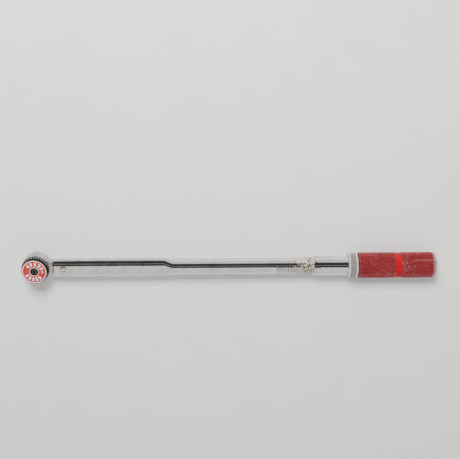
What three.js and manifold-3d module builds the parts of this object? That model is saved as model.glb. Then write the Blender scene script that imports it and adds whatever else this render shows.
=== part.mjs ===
// Micrometer click torque wrench with a half-inch square drive, a round ratchet head with a
// reversing dial, a flattened chrome tube, a turning thimble and a red aluminium grip.
// Millimetres. +X runs from the drive along the tube to the grip and +Z points up through the dial.
// The origin is the centre of the square drive's flat tip.
import * as THREE from 'three';
import { mergeVertices } from 'three/addons/utils/BufferGeometryUtils.js';
import ManifoldModule from 'manifold-3d';

const wasm = await ManifoldModule();
wasm.setup();

// ---------------------------------------------------------------- driving dimensions
// Every height below is measured from the tube's centreline, which lies this far above the tip.
const AXIS_HEIGHT = 28;

const FACETS = { large: 40, medium: 24, small: 16, sphere: 12 };
const RUNNING_GAP = 0.1;
const PRESS_GAP = 0.05;

const SQUARE = { half: 6.35, tip: -AXIS_HEIGHT, root: -12.5, bevel: 0.9, cornerRadius: 0.9 };
const HUB_RADIUS = 11;
const GEAR = { teeth: 36, tipRadius: 12.4, rootRadius: 11.5, bottom: -5.6, top: 5.4 };
const SOCKET_BALL = { radius: 2, x: -5.35, z: -20, holeEnd: 2, mouthRadius: 1.85, mouthDepth: 0.13 };

const HOUSING = { radius: 21, bottom: -10, top: 8.7, edge: 2.6, boreRadius: 13.8, ceiling: 5.8 };
const COVER = { radius: 16.4, thickness: 1.5, bottom: -8.6, seatTop: -7 };
const SNAP_RING = { inner: 15, outer: 17.2, bottom: -9.7, top: -8.7, mouth: 9 };
const THRUST_WASHER = { outer: 13.7, bottom: -6.9, top: -5.7 };

const PAWL = { pivotX: 17.2, pinRadius: 1.4, bottom: -5.6, top: 5.2, ledge: 3.4, rock: 5, tipReach: 12.52 };
const PAWL_POCKET = { halfWidth: 8.8, outerRadius: 19, bottom: -5.8 };
const PAWL_PIN = { bottom: -8.3, top: 7.2 };

const DIAL = { radius: 21, faceRadius: 18.3, bottom: 9, top: 18 };
const DIAL_RIBS = { count: 36, depth: 0.85, end: 14.4, endRadius: 19.6 };
const DIAL_FLOOR = 13.3;
const DIAL_WELL_RADIUS = 5.95;
const DIAL_SWING = 18;
const LABEL = { outer: 17.6, inner: 6.05, bottom: 17.15, top: 17.95 };
const SHIFT_PIN = { radius: 1.15, orbit: 14, bottom: 3.7, top: 12 };
const DIAL_SCREW = { shank: 2.45, shoulder: 3.4, head: 4.1, bottom: 6, seat: 8.75, neck: 14.2, top: 17.3 };
const SCREW_SOCKET = { acrossFlats: 4, floor: 15 };
const DIAL_WASHER = { inner: 3.55, outer: 5.7, bottom: 13.4, top: 14.1 };
const DETENT = { radius: 1.5, orbit: 17.2, z: 8, holeRadius: 1.6, holeBottom: 2.4 };

const NECK = { halfWidth: 8.8, halfHeight: 7.5, corner: 3, end: 24.8 };
const WEB = { tangentDegrees: 51, edge: 1.5 };
const LEVER = { halfHeight: 4.6, wideEnd: 62, taperEnd: 96, tailHalf: 6.5, end: 188.8 };
const PIVOT = { x: 40.1, radius: 4.2, dome: 1.2, holeGap: 0.1, sinkRadius: 4.95, sinkDepth: 0.5 };

const FLAT = { halfWidth: 14, halfHeight: 8.5, corner: 8.4, start: 25.5, end: 185.7 };
const ROUND = { radius: 11.9, start: 202.6, end: 500 };
const TUBE_WALL = 2;
const TUBE_CORNER_STEPS = 10;
const BORE_RADIUS = ROUND.radius - TUBE_WALL;
const FLUTES = { count: 6, start: 411, orbit: 13.2, radius: 2.1 };

const CAM_BLOCK = { front: 189.2, rear: 197.2, halfWidth: 3.5, halfHeight: 5, corner: 2.4 };
const PLUNGER = { nose: 197.85, shoulder: 204.5, rear: 222, noseRadius: 6, spigot: 4.3, spigotLength: 5 };
const PLUNGER_GROOVES = [210, 216];
const SPRING = { start: 222.4, end: 383, coilRadius: 6.9, wire: 2, turns: 13 };
const SEAT = { front: 383.4, rear: 393, radius: 9.7 };
const THRUST_BALL = { radius: 4.5, x: 395 };
const SCREW = { front: 397, rear: 566, radius: 6.7 };
const NUT = { front: 480, bore: 6.9 };
const NUT_PIN = { x: 490, radius: 1.5, inner: 8.5, outer: 11.7 };

const THIMBLE = { front: 407.3, rear: 564, inner: 12.2, outer: 14.2, noseBevel: 0.9 };
const LOCK_RING = { front: 458.7, rear: 472.1, radius: 18.65, bandRadius: 18.2, bore: 14.3 };
const LOCK_BALL = { x: 465.4, radius: 1.9, orbit: 13.9, angles: [0, 120, 240] };
const LOCK_CLIP = { front: 458.95, rear: 459.85, inner: 13.9, outer: 15.3, mouth: 3 };
const O_RING = { front: 469.2, rear: 470.4, inner: 13.35, outer: 14.25 };
const GRIP = { front: 473.6, rear: 584.2, radius: 19, bore: 14.3, bandFront: 526.9, bandRear: 536.2 };
const GRIP_BAND_DEPTH = 0.35;
const PLUG = { front: 553, rear: 566, radius: 12.1, bore: 6.8 };
const SCREW_PIN = { x: 559.5, radius: 1.6, half: 14 };
const END_CAP = { front: 567, seat: 584.35, rear: 587.9, radius: 18.5, spigot: 14.2 };

// ---------------------------------------------------------------- finishes
function finish(color, roughness, metalness) {
  return new THREE.MeshStandardMaterial({ color, roughness, metalness });
}

const FINISHES = {
  chrome: () => finish('#c9c7c4', 0.12, 1),
  satinChrome: () => finish('#b3afa9', 0.35, 1),
  blackOxide: () => finish('#1b1a1b', 0.5, 0.6),
  redGrip: () => finish('#a33038', 0.45, 0.7),
  labelRed: () => finish('#d93232', 0.5, 0),
  platedPin: () => finish('#c8c4a0', 0.35, 1),
  steel: () => finish('#8f9094', 0.4, 1),
  springSteel: () => finish('#5c5d61', 0.45, 1),
  bronze: () => finish('#a87b45', 0.4, 1),
  bareAluminium: () => finish('#b59a98', 0.35, 1),
  rubber: () => finish('#1c1c1c', 0.85, 0),
};

// ---------------------------------------------------------------- solids
// Signed volume of an indexed triangle mesh, below zero when its faces point inward.
function signedVolume(position, index) {
  const corners = [new THREE.Vector3(), new THREE.Vector3(), new THREE.Vector3()];
  let sixfold = 0;
  for (let i = 0; i < index.length; i += 3) {
    corners.forEach((corner, k) => corner.fromBufferAttribute(position, index[i + k]));
    sixfold += corners[0].dot(corners[1].cross(corners[2]));
  }
  return sixfold / 6;
}

// A closed outward-facing solid that can be joined and cut.
function solidOf(geometry) {
  const bare = geometry.clone();
  bare.deleteAttribute('normal');
  bare.deleteAttribute('uv');
  const merged = mergeVertices(bare, 1e-4);
  const source = merged.index.array;
  const kept = [];
  for (let i = 0; i < source.length; i += 3) {
    const [a, b, c] = [source[i], source[i + 1], source[i + 2]];
    if (a !== b && b !== c && c !== a) {
      kept.push(a, b, c);
    }
  }
  const position = merged.attributes.position;
  const triangles = signedVolume(position, kept) < 0 ? kept.reverse() : kept;
  const mesh = new wasm.Mesh({
    numProp: 3,
    vertProperties: new Float32Array(position.array),
    triVerts: new Uint32Array(triangles),
  });
  return new wasm.Manifold(mesh);
}

function geometryOf(solid) {
  const mesh = solid.getMesh();
  const geometry = new THREE.BufferGeometry();
  geometry.setAttribute('position', new THREE.BufferAttribute(new Float32Array(mesh.vertProperties), 3));
  geometry.setIndex(new THREE.BufferAttribute(new Uint32Array(mesh.triVerts), 1));
  geometry.computeVertexNormals();
  return geometry;
}

// Turns a list of [radius, position along the axis] pairs about X, Y or Z.
function turned(profile, axis, facets = FACETS.large) {
  const points = profile.map(([radius, along]) => new THREE.Vector2(radius, along));
  const closes = profile[0][0] === 0 && profile[profile.length - 1][0] === 0;
  if (!closes) {
    points.push(points[0].clone());
  }
  const geometry = new THREE.LatheGeometry(points, facets);
  if (axis === 'x') {
    geometry.rotateZ(-Math.PI / 2);
  }
  if (axis === 'z') {
    geometry.rotateX(Math.PI / 2);
  }
  return solidOf(geometry);
}

function rod(radius, from, to, axis, facets) {
  return turned([[0, from], [radius, from], [radius, to], [0, to]], axis, facets);
}

function ring(inner, outer, from, to, axis, facets) {
  return turned([[inner, from], [outer, from], [outer, to], [inner, to]], axis, facets);
}

function block(x0, x1, y0, y1, z0, z1) {
  const geometry = new THREE.BoxGeometry(x1 - x0, y1 - y0, z1 - z0);
  geometry.translate((x0 + x1) / 2, (y0 + y1) / 2, (z0 + z1) / 2);
  return solidOf(geometry);
}

// A plan outline of [x, y] pairs raised between two heights.
function prism(outline, bottom, top) {
  const shape = new THREE.Shape(outline.map(([x, y]) => new THREE.Vector2(x, y)));
  const geometry = new THREE.ExtrudeGeometry(shape, { depth: top - bottom, bevelEnabled: false });
  geometry.translate(0, 0, bottom);
  return solidOf(geometry);
}

function ball(radius, x, y, z, facets = FACETS.sphere) {
  const geometry = new THREE.SphereGeometry(radius, facets, facets / 2);
  geometry.translate(x, y, z);
  return solidOf(geometry);
}

function polar(radius, degrees) {
  const angle = THREE.MathUtils.degToRad(degrees);
  return [radius * Math.cos(angle), radius * Math.sin(angle)];
}

// A loop of points around a rounded rectangle, or around a circle when the corner fills it.
function roundedLoop(halfWidth, halfHeight, corner, perCorner) {
  const loop = [];
  for (let quarter = 0; quarter < 4; quarter += 1) {
    const sideA = quarter === 0 || quarter === 3 ? 1 : -1;
    const sideB = quarter < 2 ? 1 : -1;
    for (let i = 0; i < perCorner; i += 1) {
      const [a, b] = polar(corner, 90 * (quarter + (i + 0.5) / perCorner));
      loop.push([sideA * (halfWidth - corner) + a, sideB * (halfHeight - corner) + b]);
    }
  }
  return loop;
}

// A solid through loops placed along X (loops in Y and Z) or along Z (loops in X and Y).
function lofted(sections, axis) {
  const count = sections[0].loop.length;
  const place = (along, [a, b]) => (axis === 'x' ? [along, a, b] : [a, b, along]);
  const positions = [];
  const index = [];
  sections.forEach(({ along, loop }) => loop.forEach((point) => positions.push(...place(along, point))));
  for (let s = 0; s + 1 < sections.length; s += 1) {
    for (let i = 0; i < count; i += 1) {
      const next = (i + 1) % count;
      const [a, b, c, d] = [s * count + i, s * count + next, (s + 1) * count + i, (s + 1) * count + next];
      index.push(a, b, c, b, d, c);
    }
  }
  [0, sections.length - 1].forEach((s) => {
    const centre = positions.length / 3;
    positions.push(...place(sections[s].along, [0, 0]));
    for (let i = 0; i < count; i += 1) {
      const edge = [s * count + i, s * count + ((i + 1) % count)];
      index.push(centre, ...(s === 0 ? edge.reverse() : edge));
    }
  });
  const geometry = new THREE.BufferGeometry();
  geometry.setAttribute('position', new THREE.Float32BufferAttribute(positions, 3));
  geometry.setIndex(index);
  return solidOf(geometry);
}

// A sector of a flat ring, used for curved slots.
function arcSlot(inner, outer, fromDegrees, toDegrees, bottom, top) {
  const steps = Math.ceil((toDegrees - fromDegrees) / 5);
  const sweep = toDegrees - fromDegrees;
  const angles = Array.from({ length: steps + 1 }, (_, i) => fromDegrees + (sweep * i) / steps);
  const outerEdge = angles.map((angle) => polar(outer, angle));
  const innerEdge = angles.map((angle) => polar(inner, angle)).reverse();
  return prism([...outerEdge, ...innerEdge], bottom, top);
}

// Helix along +Z with one close turn at each end and an even pitch between them.
class CoilPath extends THREE.Curve {
  constructor(radius, length, turns, endPitch) {
    super();
    Object.assign(this, { radius, length, turns, endPitch });
  }

  getPoint(t, target = new THREE.Vector3()) {
    const turn = t * this.turns;
    const middlePitch = (this.length - 2 * this.endPitch) / (this.turns - 2);
    const first = Math.min(turn, 1) * this.endPitch;
    const middle = THREE.MathUtils.clamp(turn - 1, 0, this.turns - 2) * middlePitch;
    const last = Math.max(turn - this.turns + 1, 0) * this.endPitch;
    const angle = turn * 2 * Math.PI;
    return target.set(this.radius * Math.cos(angle), this.radius * Math.sin(angle), first + middle + last);
  }
}

function coil(radius, wire, length, turns, perTurn, sides) {
  const section = new THREE.Shape(
    Array.from({ length: sides }, (_, i) => new THREE.Vector2(...polar(wire, (360 * i) / sides))),
  );
  const path = new CoilPath(radius, length - 2 * wire, turns, 2 * wire + 0.1);
  const geometry = new THREE.ExtrudeGeometry(section, { steps: turns * perTurn, extrudePath: path });
  geometry.translate(0, 0, wire);
  return geometry;
}

function joined(...solids) {
  return solids.reduce((whole, next) => whole.add(next));
}

function cut(whole, ...tools) {
  return tools.reduce((rest, tool) => rest.subtract(tool), whole);
}

function piece(name, solid, material) {
  const mesh = new THREE.Mesh(geometryOf(solid), material());
  mesh.name = name;
  return mesh;
}

function assembly(name, ...children) {
  const group = new THREE.Group();
  group.name = name;
  group.add(...children);
  return group;
}

// ---------------------------------------------------------------- tube and what is fixed in it
function flatLoop(inset) {
  const { halfWidth, halfHeight, corner } = FLAT;
  return roundedLoop(halfWidth - inset, halfHeight - inset, corner - inset, TUBE_CORNER_STEPS);
}

// Sections from the flattened front of the tube to its round rear, drawn in by an inset.
function tubeSections(inset, front, rear) {
  const loopAt = (share) => {
    const mix = (a, b) => THREE.MathUtils.lerp(a, b, share);
    const halfWidth = mix(FLAT.halfWidth, ROUND.radius) - inset;
    const halfHeight = mix(FLAT.halfHeight, ROUND.radius) - inset;
    return roundedLoop(halfWidth, halfHeight, mix(FLAT.corner, ROUND.radius) - inset, TUBE_CORNER_STEPS);
  };
  const swell = [0, 0.2, 0.4, 0.6, 0.8, 1].map((t) => ({
    along: THREE.MathUtils.lerp(FLAT.end, ROUND.start, t),
    loop: loopAt(THREE.MathUtils.smoothstep(t, 0, 1)),
  }));
  return [{ along: front, loop: loopAt(0) }, ...swell, { along: rear, loop: loopAt(1) }];
}

function tubeOuter() {
  const [front, ...rest] = tubeSections(0, FLAT.start + 1, ROUND.end);
  const rounding = [[0, 0.9], [0.3, 0.35]].map(([back, inset]) => ({
    along: FLAT.start + back,
    loop: flatLoop(inset),
  }));
  return lofted([...rounding, front, ...rest], 'x');
}

function pivotHole() {
  const top = FLAT.halfHeight;
  const radius = PIVOT.radius + PRESS_GAP;
  const half = [
    [radius, top - PIVOT.sinkDepth],
    [PIVOT.sinkRadius, top],
    [PIVOT.sinkRadius, top + 1],
  ];
  const mirrored = half.map(([r, z]) => [r, -z]).reverse();
  const profile = [[0, -top - 1], ...mirrored, ...half, [0, top + 1]];
  return turned(profile, 'z', FACETS.medium).translate([PIVOT.x, 0, 0]);
}

function flutes() {
  return Array.from({ length: FLUTES.count }, (_, i) => {
    const [y, z] = polar(FLUTES.orbit, 90 + (360 * i) / FLUTES.count);
    return rod(FLUTES.radius, FLUTES.start, ROUND.end + 1, 'x', 12).translate([0, y, z]);
  });
}

function nutPinHole(side) {
  const reach = [side * (NUT_PIN.inner - 0.1), side * (ROUND.radius + 1)].sort((a, b) => a - b);
  return rod(NUT_PIN.radius + PRESS_GAP, ...reach, 'y', 12).translate([NUT_PIN.x, 0, 0]);
}

function mainTube() {
  const bore = lofted(tubeSections(TUBE_WALL, FLAT.start - 1, ROUND.end + 1), 'x');
  const tools = [bore, pivotHole(), nutPinHole(1), nutPinHole(-1), ...flutes()];
  return piece('main_tube', cut(tubeOuter(), ...tools), FINISHES.chrome);
}

function pivotPin() {
  const end = FLAT.halfHeight + PIVOT.dome;
  const dome = [[PIVOT.radius, end - 1.6], [3.7, end - 0.8], [2.6, end - 0.25], [0, end]];
  const below = dome.map(([r, z]) => [r, -z]).reverse();
  const solid = turned([...below, ...dome], 'z', FACETS.medium).translate([PIVOT.x, 0, 0]);
  return piece('pivot_pin', solid, FINISHES.platedPin);
}

function adjustingNut() {
  const body = ring(NUT.bore, BORE_RADIUS - RUNNING_GAP, NUT.front, ROUND.end, 'x', FACETS.medium);
  return piece('adjusting_nut', cut(body, nutPinHole(1), nutPinHole(-1)), FINISHES.bronze);
}

function nutPin(name, side) {
  const reach = [side * NUT_PIN.inner, side * NUT_PIN.outer].sort((a, b) => a - b);
  const solid = rod(NUT_PIN.radius, ...reach, 'y', 12).translate([NUT_PIN.x, 0, 0]);
  return piece(name, solid, FINISHES.steel);
}

// ---------------------------------------------------------------- ratchet head
function housingBody() {
  const { radius, bottom, top, edge } = HOUSING;
  const corner = [0, 30, 60, 90].map((angle) => polar(edge, angle));
  const above = corner.map(([out, up]) => [radius - edge + out, top - edge + up]);
  const below = corner.map(([out, up]) => [radius - edge + out, bottom + edge - up]).reverse();
  return turned([[0, bottom], ...below, ...above, [0, top]], 'z', FACETS.large);
}

function neckBar() {
  const loop = roundedLoop(NECK.halfWidth, NECK.halfHeight, NECK.corner, 4);
  return lofted([{ along: 12, loop }, { along: NECK.end, loop }], 'x');
}

// Web that narrows from the round housing to the neck, with its long edges broken.
function neckWeb() {
  const [x, y] = polar(HOUSING.radius - 0.2, WEB.tangentDegrees);
  const outlineFor = (inset) => [
    [0, -y + inset], [x, -y + inset], [NECK.end, -NECK.halfWidth + inset],
    [NECK.end, NECK.halfWidth - inset], [x, y - inset], [0, y - inset],
  ];
  const low = NECK.halfHeight - WEB.edge;
  return joined(
    prism(outlineFor(0), -low, low),
    prism(outlineFor(WEB.edge), -NECK.halfHeight, NECK.halfHeight),
  );
}

function leverBar() {
  const half = [
    [20, NECK.halfWidth],
    [LEVER.wideEnd, NECK.halfWidth],
    [LEVER.taperEnd, LEVER.tailHalf],
    [LEVER.end - 1, LEVER.tailHalf],
    [LEVER.end, LEVER.tailHalf - 1],
  ];
  const mirrored = half.map(([x, y]) => [x, -y]);
  return prism([...mirrored, ...half.reverse()], -LEVER.halfHeight, LEVER.halfHeight);
}

function pawlPocket() {
  const { halfWidth, outerRadius, bottom } = PAWL_POCKET;
  const room = block(10, outerRadius + 1, -halfWidth, halfWidth, bottom, HOUSING.ceiling);
  return room.intersect(rod(outerRadius, bottom, HOUSING.ceiling, 'z', FACETS.large));
}

function pawlPinHole() {
  const bore = rod(PAWL.pinRadius + PRESS_GAP, HOUSING.bottom - 1, PAWL_PIN.top + 0.2, 'z', FACETS.small);
  return bore.translate([PAWL.pivotX, 0, 0]);
}

function shiftSlot() {
  const halfWidth = SHIFT_PIN.radius + 0.15;
  const sweep = DIAL_SWING + 5.7;
  const { orbit } = SHIFT_PIN;
  return arcSlot(orbit - halfWidth, orbit + halfWidth, -sweep, sweep, HOUSING.ceiling - 1, HOUSING.top + 1);
}

function detentHole() {
  const hole = rod(DETENT.holeRadius, DETENT.holeBottom, HOUSING.top + 1, 'z', FACETS.small);
  return hole.translate([-DETENT.orbit, 0, 0]);
}

function ratchetHead() {
  const blank = joined(housingBody(), neckWeb(), neckBar(), leverBar());
  const tools = [
    rod(HOUSING.boreRadius, COVER.seatTop - 1, HOUSING.ceiling, 'z', FACETS.large),
    rod(COVER.radius + RUNNING_GAP, HOUSING.bottom - 1, COVER.seatTop, 'z', FACETS.large),
    rod(SNAP_RING.outer + RUNNING_GAP, SNAP_RING.bottom - 0.1, SNAP_RING.top + 0.1, 'z', FACETS.large),
    pawlPocket(),
    pawlPinHole(),
    shiftSlot(),
    rod(DIAL_SCREW.shank + RUNNING_GAP, HOUSING.ceiling - 1, HOUSING.top + 1, 'z', FACETS.small),
    detentHole(),
    rod(PIVOT.radius + PIVOT.holeGap, -10, 10, 'z', FACETS.medium).translate([PIVOT.x, 0, 0]),
  ];
  return piece('ratchet_head', cut(blank, ...tools), FINISHES.satinChrome);
}

function coverPlate() {
  const top = COVER.bottom + COVER.thickness;
  const plate = ring(HUB_RADIUS + RUNNING_GAP, COVER.radius, COVER.bottom, top, 'z');
  return piece('cover_plate', cut(plate, pawlPinHole()), FINISHES.satinChrome);
}

function snapRing() {
  const { inner, outer, bottom, top, mouth } = SNAP_RING;
  const full = ring(inner, outer, bottom, top, 'z', 36);
  const opening = block(-outer - 1, -inner + 4, -mouth / 2, mouth / 2, bottom - 1, top + 1);
  const eyePlaces = [-1, 1].map((side) => [-inner + 0.35, side * (mouth / 2 + 1.6), 0]);
  const eyes = eyePlaces.map((place) => rod(1.9, bottom, top, 'z', 12).translate(place));
  const holes = eyePlaces.map((place) => rod(0.9, bottom - 1, top + 1, 'z', 10).translate(place));
  const trim = rod(outer, bottom - 1, top + 1, 'z', 36);
  const solid = cut(joined(full.subtract(opening), ...eyes), ...holes).intersect(trim);
  return piece('snap_ring', solid, FINISHES.springSteel);
}

function thrustWasher() {
  const { outer, bottom, top } = THRUST_WASHER;
  return piece('thrust_washer', ring(HUB_RADIUS + RUNNING_GAP, outer, bottom, top, 'z', 36), FINISHES.bronze);
}

function pawlPin() {
  const solid = rod(PAWL.pinRadius, PAWL_PIN.bottom, PAWL_PIN.top, 'z', FACETS.small);
  return piece('pawl_pin', solid.translate([PAWL.pivotX, 0, 0]), FINISHES.steel);
}

// ---------------------------------------------------------------- drive gear and square
function gearOutline(gap) {
  const spread = THREE.MathUtils.radToDeg(gap / GEAR.tipRadius);
  const outline = [];
  for (let tooth = 0; tooth < GEAR.teeth; tooth += 1) {
    const middle = (360 * tooth) / GEAR.teeth;
    outline.push(polar(GEAR.rootRadius + gap, middle - 3.8 - spread));
    outline.push(polar(GEAR.tipRadius + gap, middle - 1 - spread));
    outline.push(polar(GEAR.tipRadius + gap, middle + 1 + spread));
    outline.push(polar(GEAR.rootRadius + gap, middle + 3.8 + spread));
  }
  return outline;
}

function squareShank() {
  const loopFor = (inset) => roundedLoop(SQUARE.half - inset, SQUARE.half - inset, SQUARE.cornerRadius, 3);
  return lofted([
    { along: SQUARE.tip, loop: loopFor(SQUARE.bevel) },
    { along: SQUARE.tip + SQUARE.bevel, loop: loopFor(0) },
    { along: SQUARE.root + 1, loop: loopFor(0) },
  ], 'z');
}

function socketBallHole() {
  const { radius, z, holeEnd, mouthRadius, mouthDepth } = SOCKET_BALL;
  const inside = -SQUARE.half + mouthDepth;
  const bore = rod(radius + 0.08, inside, holeEnd, 'x', FACETS.small);
  const mouth = rod(mouthRadius, -SQUARE.half - 1, inside + 0.5, 'x', FACETS.small);
  return joined(bore, mouth).translate([0, 0, z]);
}

function ratchetGear() {
  const hub = turned([
    [0, SQUARE.root],
    [HUB_RADIUS - 0.8, SQUARE.root],
    [HUB_RADIUS, SQUARE.root + 0.8],
    [HUB_RADIUS, GEAR.bottom + 1],
    [0, GEAR.bottom + 1],
  ], 'z', FACETS.large);
  const whole = joined(prism(gearOutline(0), GEAR.bottom, GEAR.top), hub, squareShank());
  return piece('ratchet_gear', cut(whole, socketBallHole()), FINISHES.steel);
}

function socketBall() {
  const { radius, x, z } = SOCKET_BALL;
  return piece('socket_ball', ball(radius, x, 0, z), FINISHES.steel);
}

function socketBallSpring() {
  const front = SOCKET_BALL.x + SOCKET_BALL.radius + 0.15;
  const length = SOCKET_BALL.holeEnd - 0.15 - front;
  const geometry = coil(1.4, 0.3, length, 4, 8, 5);
  geometry.rotateY(Math.PI / 2);
  geometry.translate(front, 0, SOCKET_BALL.z);
  return piece('socket_ball_spring', solidOf(geometry), FINISHES.springSteel);
}

// ---------------------------------------------------------------- pawl
function pawlOutline() {
  const back = [[14.6, 7.9], [17.8, 4], [18.8, 1.2], [18.8, -1.2], [17.8, -4], [14.6, -7.9]];
  const lower = [-37, -32, -27, -22, -18].map((angle) => polar(PAWL.tipReach, angle));
  const middle = [-14, -7, 0, 7, 14].map((angle) => polar(13, angle));
  const upper = [18, 22, 27, 32, 37].map((angle) => polar(PAWL.tipReach, angle));
  return [...back.reverse(), ...upper.reverse(), ...middle.reverse(), ...lower.reverse()];
}

// The gear's room in the pawl, at even steps of the pawl's rock about its pin.
function gearRoom() {
  const cutter = prism(gearOutline(0.12), PAWL.bottom - 1, PAWL.top + 1).translate([-PAWL.pivotX, 0, 0]);
  const steps = [-1, -0.75, -0.5, -0.25, 0.25, 0.5, 0.75, 1];
  return steps.map((step) => cutter.rotate([0, 0, step * PAWL.rock]).translate([PAWL.pivotX, 0, 0]));
}

function pawl() {
  const blank = prism(pawlOutline(), PAWL.bottom, PAWL.top);
  const ledge = block(10, 15.6, -5.25, 5.25, PAWL.ledge, PAWL.top + 1);
  const bore = rod(PAWL.pinRadius + RUNNING_GAP, -20, 20, 'z', FACETS.small).translate([PAWL.pivotX, 0, 0]);
  const solid = cut(blank, ledge, bore, ...gearRoom()).translate([-PAWL.pivotX, 0, 0]);
  const mesh = piece('pawl', solid, FINISHES.steel);
  mesh.position.x = PAWL.pivotX;
  mesh.rotation.z = THREE.MathUtils.degToRad(-PAWL.rock);
  return mesh;
}

// ---------------------------------------------------------------- reversing dial
function ribbedLoop(radius) {
  const pitch = 360 / DIAL_RIBS.count;
  const rib = [
    [radius - DIAL_RIBS.depth, -0.36], [radius, -0.24], [radius, 0.24], [radius - DIAL_RIBS.depth, 0.36],
  ];
  return Array.from({ length: DIAL_RIBS.count }, (_, i) => i * pitch).flatMap((middle) => (
    rib.map(([distance, share]) => polar(distance, middle + share * pitch))
  ));
}

// Curved groove under the dial in which the detent ball stays as the dial swings.
function detentGroove() {
  const half = 1.3;
  const [from, to] = [180 - 6, 180 + 2 * DIAL_SWING + 6];
  return arcSlot(DETENT.orbit - half, DETENT.orbit + half, from, to, DIAL.bottom - 1, DIAL.bottom + 0.8);
}

function reverseDial() {
  const skirt = lofted([
    { along: DIAL.bottom, loop: ribbedLoop(DIAL.radius - 0.4) },
    { along: DIAL.bottom + 0.5, loop: ribbedLoop(DIAL.radius) },
    { along: DIAL_RIBS.end, loop: ribbedLoop(DIAL_RIBS.endRadius) },
  ], 'z');
  const crown = turned([
    [0, DIAL_RIBS.end - 1],
    [DIAL_RIBS.endRadius - DIAL_RIBS.depth - 0.2, DIAL_RIBS.end - 1],
    [DIAL_RIBS.endRadius - 0.2, DIAL_RIBS.end],
    [DIAL.faceRadius, DIAL.top - 0.5],
    [DIAL.faceRadius - 0.4, DIAL.top],
    [0, DIAL.top],
  ], 'z', FACETS.large);
  const blank = joined(skirt, crown);
  const tools = [
    rod(DIAL_SCREW.shoulder + RUNNING_GAP, DIAL.bottom - 1, DIAL.top, 'z', FACETS.medium),
    rod(DIAL_WELL_RADIUS, DIAL_FLOOR, DIAL.top + 1, 'z', 36),
    rod(LABEL.outer + RUNNING_GAP, LABEL.bottom - 0.05, DIAL.top + 1, 'z', FACETS.large),
    detentGroove(),
    shiftPinRod(PRESS_GAP, DIAL.bottom - 1, SHIFT_PIN.top + 0.2),
  ];
  return piece('reverse_dial', cut(blank, ...tools), FINISHES.blackOxide);
}

function dialLabel() {
  return piece('dial_label', ring(LABEL.inner, LABEL.outer, LABEL.bottom, LABEL.top, 'z'), FINISHES.labelRed);
}

function shiftPinRod(gap, bottom, top) {
  const [x, y] = polar(SHIFT_PIN.orbit, DIAL_SWING);
  return rod(SHIFT_PIN.radius + gap, bottom, top, 'z', FACETS.small).translate([x, y, 0]);
}

function shiftPin() {
  return piece('shift_pin', shiftPinRod(0, SHIFT_PIN.bottom, SHIFT_PIN.top), FINISHES.steel);
}

function dialScrew() {
  const { shank, shoulder, head, bottom, seat, neck, top } = DIAL_SCREW;
  const body = turned([
    [0, bottom], [shank, bottom], [shank, seat], [shoulder, seat], [shoulder, neck],
    [head, neck], [head, top - 0.4], [head - 0.4, top], [0, top],
  ], 'z', FACETS.medium);
  const hexagon = Array.from({ length: 6 }, (_, i) => polar(SCREW_SOCKET.acrossFlats / Math.sqrt(3), 60 * i));
  return piece('dial_screw', cut(body, prism(hexagon, SCREW_SOCKET.floor, top + 1)), FINISHES.blackOxide);
}

function dialWasher() {
  const { inner, outer, bottom, top } = DIAL_WASHER;
  return piece('dial_washer', ring(inner, outer, bottom, top, 'z', FACETS.medium), FINISHES.blackOxide);
}

function dialDetentBall() {
  return piece('dial_detent_ball', ball(DETENT.radius, -DETENT.orbit, 0, DETENT.z), FINISHES.steel);
}

function dialDetentSpring() {
  const bottom = DETENT.holeBottom + 0.1;
  const length = DETENT.z - DETENT.radius - 0.1 - bottom;
  const geometry = coil(1.15, 0.3, length, 4, 8, 5);
  geometry.translate(-DETENT.orbit, 0, bottom);
  return piece('dial_detent_spring', solidOf(geometry), FINISHES.springSteel);
}

// ---------------------------------------------------------------- release block, plunger, spring
function camBlock() {
  const { front, rear, halfWidth, halfHeight, corner } = CAM_BLOCK;
  const loop = roundedLoop((rear - front) / 2, halfWidth, corner, 4);
  const solid = prism(loop, -halfHeight, halfHeight).translate([(front + rear) / 2, 0, 0]);
  return piece('cam_block', solid, FINISHES.steel);
}

function plunger() {
  const { nose, shoulder, rear, noseRadius, spigot, spigotLength } = PLUNGER;
  const radius = BORE_RADIUS - RUNNING_GAP;
  const grooves = PLUNGER_GROOVES.flatMap((x) => [
    [radius, x - 0.7], [radius - 0.6, x - 0.5], [radius - 0.6, x + 0.5], [radius, x + 0.7],
  ]);
  const profile = [
    [0, nose], [noseRadius - 0.6, nose], [noseRadius, nose + 0.6], [noseRadius, shoulder],
    [radius, shoulder], ...grooves, [radius, rear],
    [spigot, rear], [spigot, rear + spigotLength - 0.6], [spigot - 0.6, rear + spigotLength],
    [0, rear + spigotLength],
  ];
  return piece('plunger', turned(profile, 'x', FACETS.medium), FINISHES.steel);
}

function mainSpring() {
  const { start, end, coilRadius, wire, turns } = SPRING;
  const geometry = coil(coilRadius, wire, end - start, turns, 10, 6);
  geometry.rotateY(Math.PI / 2);
  geometry.translate(start, 0, 0);
  return piece('main_spring', solidOf(geometry), FINISHES.springSteel);
}

function rearSpringSeat() {
  const { front, rear, radius } = SEAT;
  const { spigot, spigotLength } = PLUNGER;
  const body = turned([
    [0, front - spigotLength], [spigot - 0.6, front - spigotLength], [spigot, front - spigotLength + 0.6],
    [spigot, front], [radius, front], [radius, rear - 2], [radius - 2, rear], [0, rear],
  ], 'x', FACETS.medium);
  return piece('rear_spring_seat', cut(body, thrustBallRoom(RUNNING_GAP)), FINISHES.steel);
}

function thrustBallRoom(gap) {
  return ball(THRUST_BALL.radius + gap, THRUST_BALL.x, 0, 0, FACETS.small);
}

function thrustBall() {
  return piece('thrust_ball', ball(THRUST_BALL.radius, THRUST_BALL.x, 0, 0, FACETS.small), FINISHES.steel);
}

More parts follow.
